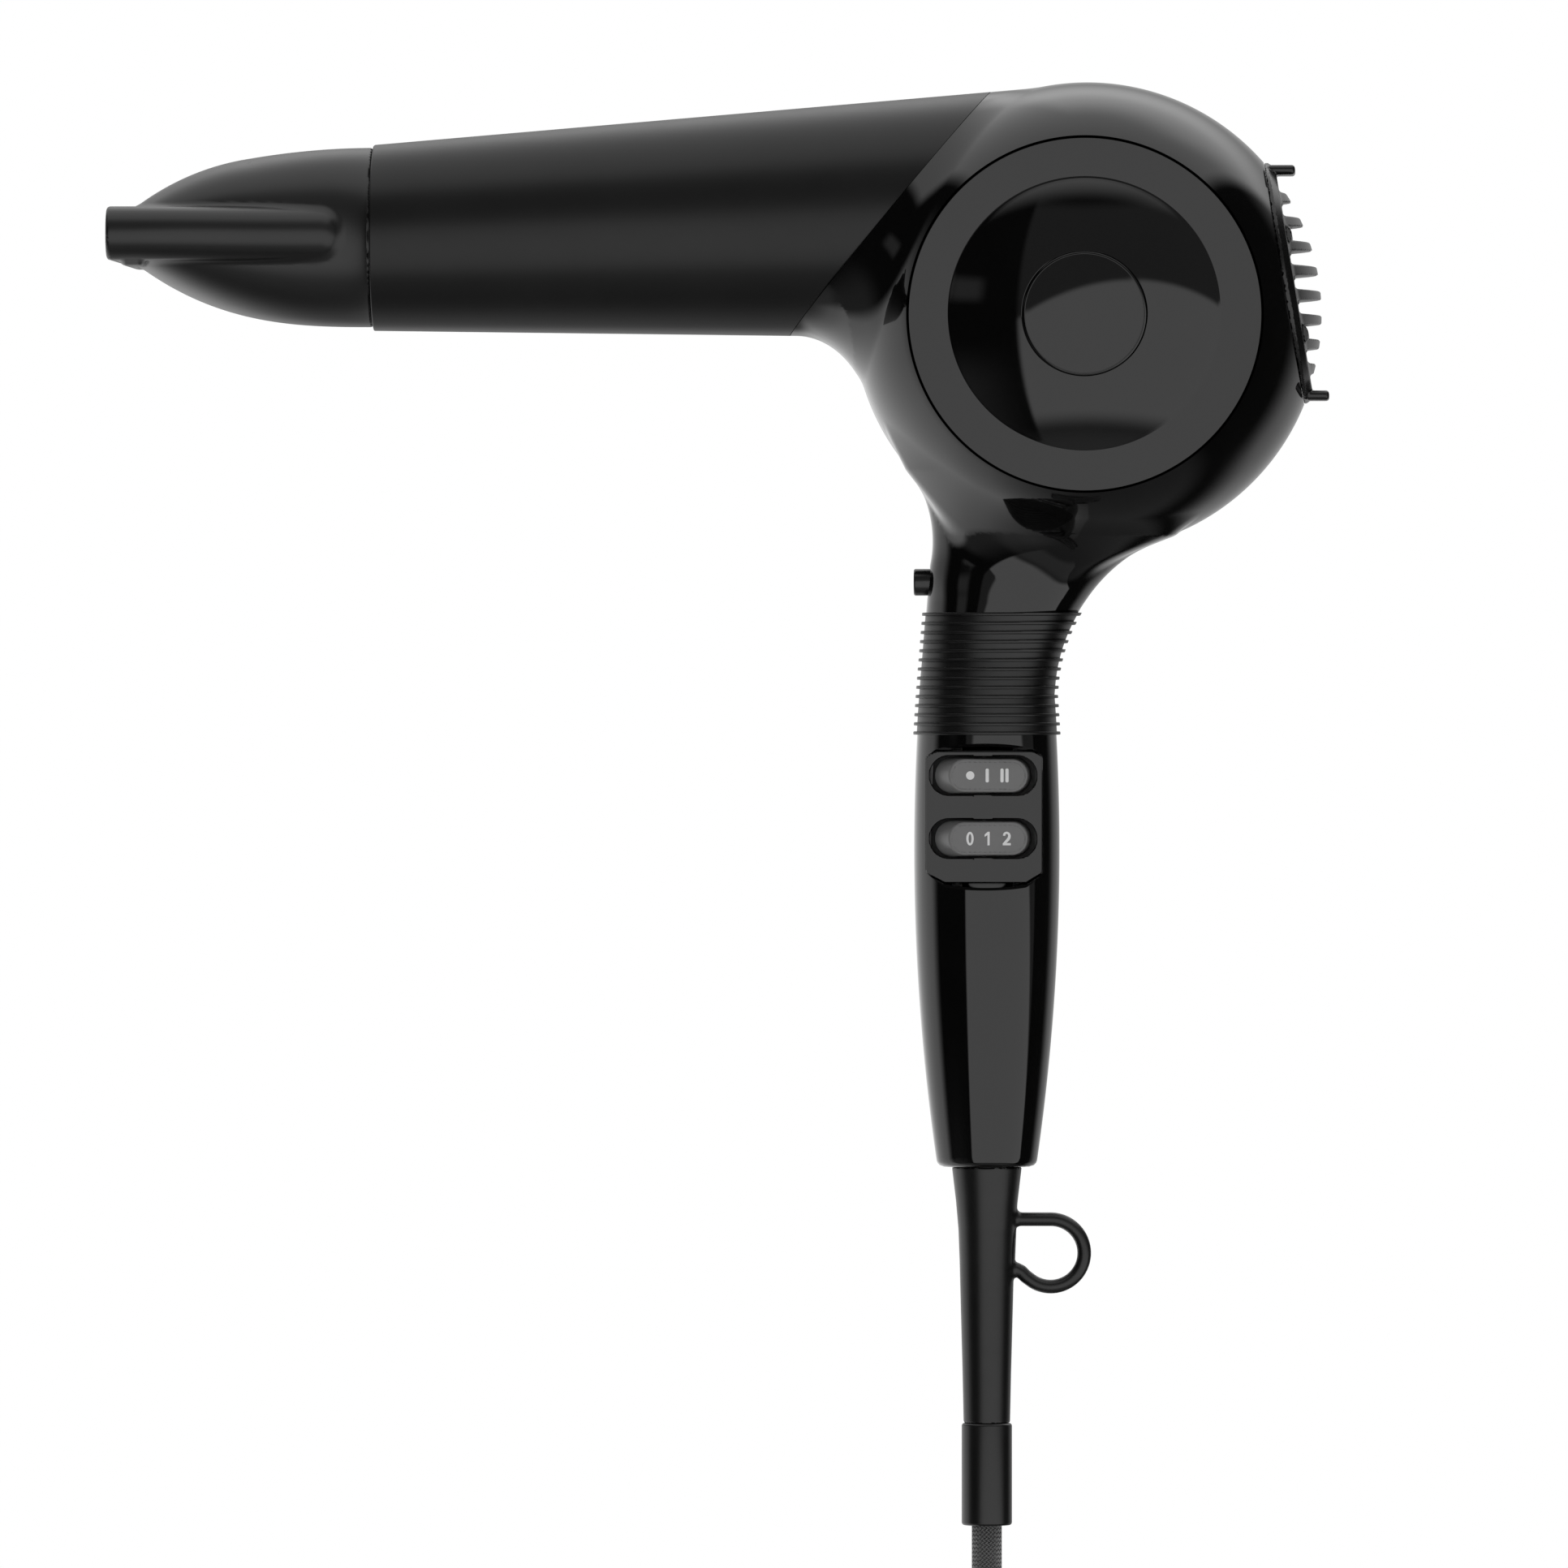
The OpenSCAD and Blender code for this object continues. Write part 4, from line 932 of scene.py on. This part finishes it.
def nozzle_hood(p):
    """The body that flattens from the round mouth: boxy above, rounder below."""
    x, t = p[:, 0], nozzle_share(p[:, 0])
    top, low = nozzle_top(x), nozzle_low(x)
    up = p[:, 2] > NOZZLE_Z
    half_z = np.where(up, top - NOZZLE_Z, NOZZLE_Z - low)
    power = np.where(up, 2 + 1.0 * t, 2 + 0.3 * t)
    half_y = nozzle_side(x) - HOOD_INSET * t**0.7
    side = power_field(p[:, 1], p[:, 2] - NOZZLE_Z, half_y, half_z, power)
    return common(side, slab(x, -209.2, NOZZLE_REAR), 0.5)


def nozzle_bar(p):
    """The flat slot block, carried back along both sides as a round-edged bar."""
    half = nozzle_side(p[:, 0])
    out = np.maximum(np.abs(p[:, 1]) - (half - SLOT_TALL / 2), 0)
    end = np.maximum(p[:, 0] + 163, 0)
    side = np.sqrt(out**2 + (p[:, 2] - SLOT_Z) ** 2 + end**2) - SLOT_TALL / 2
    return common(side, NOZZLE_TIP - p[:, 0], 0.9)


def nozzle_field(p):
    lip = common(np.hypot(np.maximum(np.abs(p[:, 1]) - 24, 0), p[:, 2] - 107) - 6.9,
                 slab(p[:, 0], NOZZLE_TIP + 3, -206), 1.5)
    return united(united(nozzle_hood(p), nozzle_bar(p), 1.2), lip, 0.8)


def nozzle_room(p):
    """The air passage: the hood's inside, narrowing to the slot."""
    x, t = p[:, 0], nozzle_share(p[:, 0])
    half_y = nozzle_side(x) - HOOD_INSET * t**0.7 - NOZZLE_WALL
    top, low = nozzle_top(x) - NOZZLE_WALL, nozzle_low(x) + NOZZLE_WALL
    half_z = np.maximum((top - low) / 2, 1)
    side = power_field(p[:, 1], p[:, 2] - (top + low) / 2, half_y, half_z, 2 + t)
    room = np.maximum(side, slab(x, -206.5, -153))
    out = np.maximum(np.abs(p[:, 1]) - (SLOT_HALF - SLOT_EDGE - SLOT_OPEN_R), 0)
    slot = np.maximum(np.hypot(out, p[:, 2] - SLOT_Z) - SLOT_OPEN_R, slab(x, NOZZLE_TIP - 6, -204))
    return np.minimum(room, slot)


def make_nozzle():
    low, high = (NOZZLE_TIP - 2, -SLOT_HALF - 2, 83), (NOZZLE_REAR + 2, SLOT_HALF + 2, 132)
    piece = field_object("nozzle_hood", nozzle_field, low, high, 0.7)
    room = field_object("cutter", nozzle_room, (NOZZLE_TIP - 10, low[1], low[2]), high, 1.0)
    middle = (-150, 0, NOZZLE_Z)
    bore = turned_cutter([(19.8, -6), (19.8, 30)], middle, (1, 0, 0), 120)
    wall = fillet([(19.81, -3.5, 0), (21.3, -3.5, 0), (21.3, 10.6, 0.5), (19.81, 10.6, 0.4)])
    carve(piece, room, bore)
    carve(piece, turned("cutter", wall, middle, (1, 0, 0), 120), operation="UNION")
    smooth_from(piece, nozzle_field)
    place(piece, "nozzle", "nozzle", slot="satin_nozzle")


# ---------------- grip sleeve
RIB_PITCH, RIB_COUNT, RIB_THICK = 2.25, 14, 0.75


def handle_ring(z, offset, columns=112):
    """Ring round the handle at a height, offset outwards."""
    angle = round_angles(columns)
    front, rear, deep = [float(edge(np.array(z))) for edge in (front_x, rear_x, half_depth)]
    mid, half_x, half_y = (front + rear) / 2, (rear - front) / 2 + offset, deep + offset
    x, y = np.cos(angle), np.sin(angle)
    size = (np.abs(x) ** HANDLE_POWER + np.abs(y) ** HANDLE_POWER) ** (-1 / HANDLE_POWER)
    return np.stack((mid + half_x * x * size, half_y * y * size, np.full(columns, float(z))), 1)


def make_grip():
    """Rubber sleeve with fine ribs that stand a little proud of the shell."""
    low, high = span("grip_sleeve")
    skin, proud, under = 0.15, 1.0, 0.6
    bottom, top, half = low[2], high[2], RIB_THICK / 2
    profile = [(bottom + 0.02, skin - 0.25), (bottom + 0.25, skin)]
    for i in range(RIB_COUNT):
        z = (bottom + top) / 2 + (i - (RIB_COUNT - 1) / 2) * RIB_PITCH
        profile += [(z - half - 0.06, skin), (z - half - 0.01, proud - 0.12), (z - half + 0.1, proud),
                    (z, proud), (z + half - 0.1, proud), (z + half + 0.01, proud - 0.12),
                    (z + half + 0.06, skin)]
    profile += [(top - 0.25, skin), (top - 0.02, skin - 0.25)]
    profile += [(z, -under) for z in np.linspace(top - 0.02, bottom + 0.02, 12)]
    piece = sweep_mesh("grip_ribs", [handle_ring(*spot) for spot in profile], round_trip=True, sharp=50)
    place(piece, "housing", "grip_sleeve", slot="rubber_black")


# ---------------- switch panel, rockers, button
ROCKERS = {"heat": (-25, "rocker_heat", "heat_switch"), "speed": (-40.5, "rocker_speed", "speed_switch")}
ROCKER_PIVOT = (-0.7, -8.3)
ROCKER_COS, ROCKER_SIN = math.cos(math.radians(12)), math.sin(math.radians(12))


def outline_field(points, outline):
    """Exact signed distance in the plane to a closed polygon."""
    outline = np.asarray(outline, float)
    best = np.full(len(points), 1e9)
    inside = np.zeros(len(points), bool)
    for i, here in enumerate(outline):
        back = outline[i - 1]
        edge = here - back
        away = points - back
        along = np.clip(away @ edge / (edge @ edge), 0, 1)
        best = np.minimum(best, np.linalg.norm(away - along[:, None] * edge, axis=1))
        crosses = (back[1] > points[:, 1]) != (here[1] > points[:, 1])
        rise = here[1] - back[1] if here[1] != back[1] else 1e-9
        inside ^= crosses & (points[:, 0] < (points[:, 1] - back[1]) / rise * edge[0] + back[0])
    return np.where(inside, -best, best)


def stadium(x, z, half_x, half_z):
    return np.hypot(np.maximum(np.abs(x) - (half_x - half_z), 0), z) - half_z


def make_panel():
    """Recessed plate with two rocker slots; a small tongue stands in each slot's middle."""
    front, rear = PANEL_LOW[1], PANEL_HIGH[1]

    def plate(p):
        face = common(outline_field(p[:, [0, 2]], POCKET) + 0.1, slab(p[:, 1], front, rear), 0.22)
        for z, _, _ in ROCKERS.values():
            slot = stadium(p[:, 0] - ROCKER_PIVOT[0], p[:, 2] - z, 13.2, 4.85)
            tongue = np.maximum(np.abs(p[:, 0] - ROCKER_PIVOT[0]) - 2.4, 4.6 - np.abs(p[:, 2] - z))
            face = common(face, -np.maximum(slot, -tongue), 0.22)
        return face

    (x_low, z_low), (x_high, z_high) = POCKET.min(0) - 1, POCKET.max(0) + 1
    piece = field_object("panel_plate", plate, (x_low, front - 1, z_low), (x_high, rear + 1, z_high), 0.36)
    smooth_from(piece, plate, within=40)
    place(piece, "housing", "switch_panel", slot="gloss_shell")


def rocker_local(points):
    """Turns points into the rocker's own frame: it rests tilted by twelve degrees."""
    c, s = ROCKER_COS, ROCKER_SIN
    x, y = points[:, 0] - ROCKER_PIVOT[0], points[:, 1] - ROCKER_PIVOT[1]
    return c * x + s * y, -s * x + c * y


def rocker_turned(points):
    """Moves points from the rocker's own frame to where it rests."""
    c, s = ROCKER_COS, ROCKER_SIN
    moved = points.copy()
    moved[:, 0] = ROCKER_PIVOT[0] + c * points[:, 0] - s * points[:, 1]
    moved[:, 1] = ROCKER_PIVOT[1] + s * points[:, 0] + c * points[:, 1]
    return moved


PILL_FRONT, PILL_X, PILL_Z = -6.6, 9.85, 4.05
ROCKER_X, ROCKER_Z = 12.1, 4.45


def make_rocker(name):
    """Rocker whose pill-shaped face widens into sloping flanks, with a fine line inside its rim."""
    z, node, body = ROCKERS[name]

    def form(p):
        x, y = rocker_local(p)
        deep = np.clip((y - PILL_FRONT) / -PILL_FRONT, 0, 1)
        half_x = blend(PILL_X, ROCKER_X, deep) - 0.4 * np.maximum(y, 0)
        side = stadium(x, p[:, 2] - z, half_x, blend(PILL_Z, ROCKER_Z, deep))
        solid = common(side, slab(y, PILL_FRONT, 2.8), 0.32)
        line = np.hypot(side + 0.7, y - PILL_FRONT) - 0.13
        return np.maximum(solid, -line)

    low, high = (-14.5, -18.5, z - 5.2), (13, -4, z + 5.2)
    piece = field_object(node + "_key", form, low, high, 0.26)
    smooth_from(piece, form, within=30)
    place(piece, body, node, slot="rocker_grey")


def flat_mark(name, outlines, body, z, holes=()):
    """Thin painted marks on a rocker's pill: closed outlines in (x, up), each perhaps with one hole."""
    points, faces = [], []
    front, back = PILL_FRONT - 0.06, PILL_FRONT + 0.1
    for k, outline in enumerate(outlines):
        start, count = len(points), len(outline)
        for depth in (front, back):
            points += [(x, depth, z + up) for x, up in outline]
        if k < len(holes):
            for depth in (front, back):
                points += [(x, depth, z + up) for x, up in holes[k]]
        for i in range(count):
            j = (i + 1) % count
            faces.append((start + i, start + j, start + count + j, start + count + i))
            if k < len(holes):
                inner = start + 2 * count
                faces.append((inner + j, inner + i, inner + count + i, inner + count + j))
                faces.append((start + j, start + i, inner + i, inner + j))
                faces.append((start + count + i, start + count + j, inner + count + j, inner + count + i))
        if k >= len(holes):
            faces.append(tuple(start + i for i in reversed(range(count))))
            faces.append(tuple(start + count + i for i in range(count)))
    place(mesh_object(name, rocker_turned(np.array(points, float)), faces), body, slot="mark_white")


def ellipse_outline(x, up, half_x, half_up, steps=40):
    return [(x + half_x * math.cos(a), up + half_up * math.sin(a)) for a in round_angles(steps)]


def shifted(outline, x):
    return [(x + across, up) for across, up in outline]


def bar_outline(x, tall, wide):
    sides, round_r = (x - wide / 2, x + wide / 2), wide * 0.4
    low, high = [[(side, up, round_r) for side in sides] for up in (-tall / 2, tall / 2)]
    return fillet(low + high[::-1])


def make_marks():
    """Generic level marks: a dot and bars on one rocker, numbers on the other."""
    z, _, body = ROCKERS["heat"]
    bars = [ellipse_outline(-4.55, 0, 1.04, 1.04)] + [bar_outline(x, 3.4, 0.8) for x in (-0.3, 3.4, 4.65)]
    flat_mark("mark_bars", bars, body, z)
    z, _, body = ROCKERS["speed"]
    ring, hole = ellipse_outline(-4.6, 0, 0.92, 1.68), ellipse_outline(-4.6, 0, 0.36, 1.12)
    flat_mark("mark_zero", [ring], body, z, holes=[hole])
    one = [(0.42, -1.66), (0.42, 1.68), (-0.06, 1.68), (-0.85, 1.0), (-0.85, 0.42), (-0.14, 0.86),
           (-0.14, -1.66)]
    flat_mark("mark_one", [shifted(one, -0.1)], body, z)
    two = [(1.0, -1.66), (1.0, -1.1), (-0.1, -1.1), (0.55, -0.5), (0.92, 0.1), (0.98, 0.72), (0.78, 1.3),
           (0.36, 1.6), (-0.05, 1.7), (-0.5, 1.6), (-0.85, 1.28), (-0.98, 0.72), (-0.4, 0.66), (-0.32, 1.0),
           (-0.05, 1.18), (0.24, 1.05), (0.34, 0.68), (0.2, 0.25), (-0.2, -0.28), (-1.02, -1.2),
           (-1.02, -1.66)]
    flat_mark("mark_two", [shifted(two, 4.6)], body, z)


def make_button():
    """Round cold-shot button with an eased edge."""
    tip, foot = BUTTON_LOW[0] + 10, BUTTON_HIGH[0] + 10
    profile = fillet([(0, -tip, 0), (3.3, -tip, 0.45), (3.3, 1, 0), (4.4, 1, 0.15), (4.4, -0.2, 0.15),
                      (1.3, -0.2, 0), (1.3, -foot, 0), (0, -foot, 0)], False, 5)
    piece = turned("button_head", profile, (-10, 0, BUTTON_Z), (-1, 0, 0), 72)
    place(piece, "button", "cold_shot_button", slot="grille_black")


# ---------------- rear grille
GRILLE_R, COLLAR_OUT, COLLAR_IN = 30, 25.6, 23.6
FIN_PITCH, FIN_THICK, FIN_MIDDLE = 6, 2.6, 96
FIN_BALL_R, FIN_BALL_AT = 55, 2.75
PLATE_TOP = GRILLE_CUT + 2.6
PIN_R, PIN_AT, PIN_DOWN, PIN_APART = 2.9, 50.2, 0.9, 12.3
# The two finger lips: x from and to, z from and to
LIPS = [(69.2, 75.9, 122.6, 125), (78.3, 84.3, 67.2, 69.6)]


def make_grille():
    """Cap over the intake: eight level fins under a shallow dome, two finger lips and a thin ring."""
    def fins(p):
        local = p - HEAD
        along = local @ GRILLE_WAY
        down = local @ GRILLE_DOWN
        out = np.hypot(down, p[:, 1])
        dome = np.sqrt(out**2 + (along - FIN_BALL_AT) ** 2) - FIN_BALL_R
        level = (p[:, 2] - FIN_MIDDLE) / FIN_PITCH + 0.5
        near = np.clip(np.round(level), -3, 4) - 0.5
        thick = FIN_THICK / 2 - 0.045 * np.clip(along - PLATE_TOP, 0, 8)
        fin = np.abs(p[:, 2] - FIN_MIDDLE - near * FIN_PITCH) - thick
        fin = common(common(fin, dome, 0.35), np.maximum(out - 28.2, GRILLE_CUT + 0.4 - along), 0.4)
        bevel = (out - GRILLE_R + along - GRILLE_CUT - 0.95) / math.sqrt(2)
        plate = common(np.maximum(out - GRILLE_R, bevel), COLLAR_IN - out, 0.2)
        plate = common(plate, slab(along, GRILLE_CUT + 0.05, PLATE_TOP), 0.25)
        collar = common(slab(out, COLLAR_IN, COLLAR_OUT), slab(along, 46.6, GRILLE_CUT + 1), 0.3)
        rods = np.minimum(np.hypot(down - PIN_DOWN - PIN_APART, along - PIN_AT),
                          np.hypot(down - PIN_DOWN + PIN_APART, along - PIN_AT)) - PIN_R
        rods = common(rods, np.abs(p[:, 1]) - 23.5, 0.25)
        return np.minimum(np.minimum(united(fin, plate, 0.7), collar), rods)

    def lip(p, x_from, x_to, z_from, z_to):
        bar = common(slab(p[:, 0], x_from, x_to), slab(p[:, 2], z_from, z_to), 0.8)
        return common(bar, np.abs(p[:, 1]) - 10, 1.2)

    def form(p):
        return united(fins(p), np.minimum(*[lip(p, *sizes) for sizes in LIPS]), 0.4)

    piece = field_object("grille_cap", form, (58, -31.5, 56), (97.5, 31.5, 130), 0.5)
    smooth_from(piece, form, within=30)
    place(piece, "grille", "rear_grille", slot="grille_black")


# ---------------- strain relief, loop and collar
LOOP_X, LOOP_Z, LOOP_R, ROD_R = 15.7, -142.7, 8.3, 1.7
LOOP_FROM, LOOP_TO = -123, 90
# Radius and z of the sleeve from its lower end up, and the loop's lower end from the ring into the sleeve
RELIEF = [(5.7, -186), (6, -172), (6.4, -157), (6.7, -145), (7, -137), (7.6, -130), (8.6, -121.5)]
LOOP_LEAD = np.array([(11.18, -149.66), (9.6, -148.5), (8.4, -147.3), (7.4, -146.8), (5, -146.7)])


def make_relief():
    """Tapering rubber sleeve with the moulded hanging loop at its side."""
    radii, heights = zip(*RELIEF)

    def form(p):
        z = p[:, 2]
        out = np.hypot(p[:, 0], p[:, 1])
        radius = np.interp(z, heights, radii)
        stem = common(out - radius, slab(z, COLLAR_HIGH[2] + 0.02, HANDLE_LOW - 0.1), 0.4)
        dx, dz = p[:, 0] - LOOP_X, z - LOOP_Z
        angle = np.degrees(np.arctan2(dz, dx))
        ring = np.hypot(np.hypot(dx, dz) - LOOP_R, p[:, 1]) - ROD_R
        opening = (angle > LOOP_TO) | (angle < LOOP_FROM)
        ring = np.where(opening, np.maximum(ring, 0.5), ring)
        stub = np.maximum(np.hypot(z - LOOP_Z - LOOP_R, p[:, 1]) - ROD_R, slab(p[:, 0], 3, LOOP_X))
        lower = np.full(len(p), 1e3)
        for start, end in zip(LOOP_LEAD, LOOP_LEAD[1:]):
            away = np.stack((p[:, 0] - start[0], z - start[1]), 1)
            share = np.clip(away @ (end - start) / ((end - start) @ (end - start)), 0, 1)
            off = away - share[:, None] * (end - start)
            lower = np.minimum(lower, np.sqrt((off**2).sum(1) + p[:, 1] ** 2) - ROD_R)
        return united(stem, np.minimum(np.minimum(ring, stub), lower), 1.3)

    low, high = (-9.5, -9.5, COLLAR_HIGH[2] - 1.5), (LOOP_X + LOOP_R + ROD_R + 1, 9.5, HANDLE_LOW + 1)
    piece = field_object("relief_sleeve", form, low, high, 0.6)
    neck = fillet([(0, -112.5, 0), (9.2, -112.5, 0.3), (9.2, -114.6, 0.3), (7.3, -114.6, 0),
                   (7.3, HANDLE_LOW - 0.3, 0), (0, HANDLE_LOW - 0.3, 0)], False)
    carve(piece, turned("cutter", neck, (0, 0, 0), (0, 0, 1), 64), operation="UNION")
    smooth_from(piece, form, within=30)
    place(piece, "housing", "strain_relief", slot="rubber_black")


def make_collar():
    half, bottom, top = COLLAR_HIGH[0], COLLAR_LOW[2], COLLAR_HIGH[2]
    profile = fillet([(0, bottom, 0), (half, bottom, 0.75), (half, top, 0.75), (0, top, 0)], False, 6)
    piece = turned("collar_ring", profile, (0, 0, 0), (0, 0, 1), 96)
    place(piece, "housing", "cord_collar", slot="satin_nozzle")


def build_pieces():
    make_shells()
    for side in (-1, 1):
        make_cover(side)
        make_cap(side)
    for make in (make_barrel, make_nozzle, make_grip, make_panel):
        make()
    for name in ROCKERS:
        make_rocker(name)
    for make in (make_marks, make_button, make_grille, make_relief, make_collar):
        make()


def paint_carried():
    """Gives the CAD nodes that stay visible their procedural materials."""
    for part in frame["record"]["subparts"]:
        made = frame["nodes"].get(part["node"])
        if made is None:
            continue
        for piece in made if isinstance(made, (list, tuple)) else [made]:
            piece.data.materials.clear()
            piece.data.materials.append(MATERIALS[part["material_slot"]])


# ---------------- floor and studio light
def make_floor():
    """Plain pale floor just under the lowest piece; the glossy black shows only the studio light."""
    half, z = 3200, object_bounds()[0][2] / MM - 2
    points = [(x * half, y * half, z) for x, y in ((-1, -1), (1, -1), (1, 1), (-1, 1))]
    floor = mesh_object("floor", points, [(0, 1, 2, 3)])
    floor.data.materials.append(plastic("floor_paint", grey(0.78), grey(0.8), 0.7, 0.03, 30, 0.05))
    floor.visible_glossy = False


def soft_step(tree, value, start, end):
    """Rises smoothly from 0 to 1 as value runs from start to end, and also when end is the lower one."""
    made = tree.nodes.new("ShaderNodeMapRange")
    made.interpolation_type = "SMOOTHSTEP"
    limits = {"From Min": min(start, end), "From Max": max(start, end),
              "To Min": start > end, "To Max": start < end}
    for key, limit in limits.items():
        made.inputs[key].default_value = float(limit)
    tree.links.new(value, made.inputs["Value"])
    return made.outputs["Result"]


# Soft boxes: azimuth from and to, elevation from and to, softness of each side and of each end, radiance.
# Azimuth 0 faces the front, 90 the right; all in degrees.
SOFT_BOXES = [
    (-28, 80, -70, 45, 3, 8, 0.2),  # dim light round the key
    (-160, -99, -35, -6, 19, 45, 1.15),  # low at the left
    (-58, -50, 9, 12, 7, 5, 0.3),  # small, front left
    (-180, 180, -90, -58, 1, 12, 0.14),  # from below
    (-160, -70, -70, -28, 45, 20, 0.2),  # from below at the left
    (140, 180, -25, 50, 25, 20, 0.5),  # behind, in two parts that meet at 180
    (-180, -172, -25, 50, 10, 20, 0.5),
]
# The key's upper edge sags away from its middle azimuth, by this much per square degree, and is this soft
KEY_BOX = (-28, 80, -40, 15.2, 3, 10, 1.1)
KEY_BEND, KEY_MIDDLE, KEY_EDGE = 0.0068, 19, 1.5
# The strip overhead runs between two pitches, counted from the front over the top. TOP_WIDE is the x of the
# direction in which it ends.
TOP_FROM, TOP_TO, TOP_SOFT, TOP_POWER = 62, 139, 12, 1.2
TOP_WIDE, TOP_WIDE_SOFT = 0.62, 0.1
ROOM = 0.02


def make_light():
    """Soft boxes drawn on the sky for reflections and light; the camera itself sees plain white."""
    world = bpy.data.worlds.new("studio")
    bpy.context.scene.world = world
    world.use_nodes = True
    tree = world.node_tree
    tree.nodes.clear()
    where = tree.nodes.new("ShaderNodeTexCoord")
    split = tree.nodes.new("ShaderNodeSeparateXYZ")
    tree.links.new(where.outputs["Generated"], split.inputs[0])
    back = times(tree, split.outputs["Y"], -1.0)
    azimuth = math_node(tree, "DEGREES", math_node(tree, "ARCTAN2", split.outputs["X"], back))
    height = math_node(tree, "DEGREES", math_node(tree, "ARCSINE", split.outputs["Z"]))
    pitch = math_node(tree, "DEGREES", math_node(tree, "ARCTAN2", split.outputs["Z"], back))

    def soft_box(az_from, az_to, el_from, el_to, az_soft, el_soft, power, upper=None):
        sides = times(tree, soft_step(tree, azimuth, az_from - az_soft, az_from),
                      soft_step(tree, azimuth, az_to + az_soft, az_to))
        if upper is None:
            upper = soft_step(tree, height, el_to + el_soft, el_to)
        ends = times(tree, soft_step(tree, height, el_from - el_soft, el_from), upper)
        return times(tree, sides, ends, power)

    off = math_node(tree, "SUBTRACT", azimuth, KEY_MIDDLE)
    raised = math_node(tree, "ADD", height, times(tree, off, off, KEY_BEND))
    key_top = soft_step(tree, raised, KEY_BOX[3] + KEY_EDGE, KEY_BOX[3] - KEY_EDGE)
    total = soft_box(*KEY_BOX, upper=key_top)
    for box in SOFT_BOXES:
        total = math_node(tree, "ADD", total, soft_box(*box))
    aside = math_node(tree, "ABSOLUTE", split.outputs["X"])
    across = soft_step(tree, aside, TOP_WIDE + TOP_WIDE_SOFT, TOP_WIDE)
    top = times(tree, soft_step(tree, pitch, TOP_FROM - TOP_SOFT, TOP_FROM),
                soft_step(tree, pitch, TOP_TO + 2 * TOP_SOFT, TOP_TO), across, TOP_POWER)
    total = math_node(tree, "ADD", math_node(tree, "ADD", total, top), ROOM)
    path = tree.nodes.new("ShaderNodeLightPath")
    seen = tree.nodes.new("ShaderNodeMix")
    seen.data_type = "FLOAT"
    tree.links.new(path.outputs["Is Camera Ray"], seen.inputs["Factor"])
    tree.links.new(total, seen.inputs["A"])
    seen.inputs["B"].default_value = 1.0
    sky = tree.nodes.new("ShaderNodeBackground")
    sky.inputs["Color"].default_value = (1, 1, 1, 1)
    tree.links.new(seen.outputs["Result"], sky.inputs["Strength"])
    output = tree.nodes.new("ShaderNodeOutputWorld")
    tree.links.new(sky.outputs[0], output.inputs["Surface"])
    bpy.context.scene.view_settings.view_transform = "Standard"


build_pieces()
paint_carried()
make_floor()
make_light()
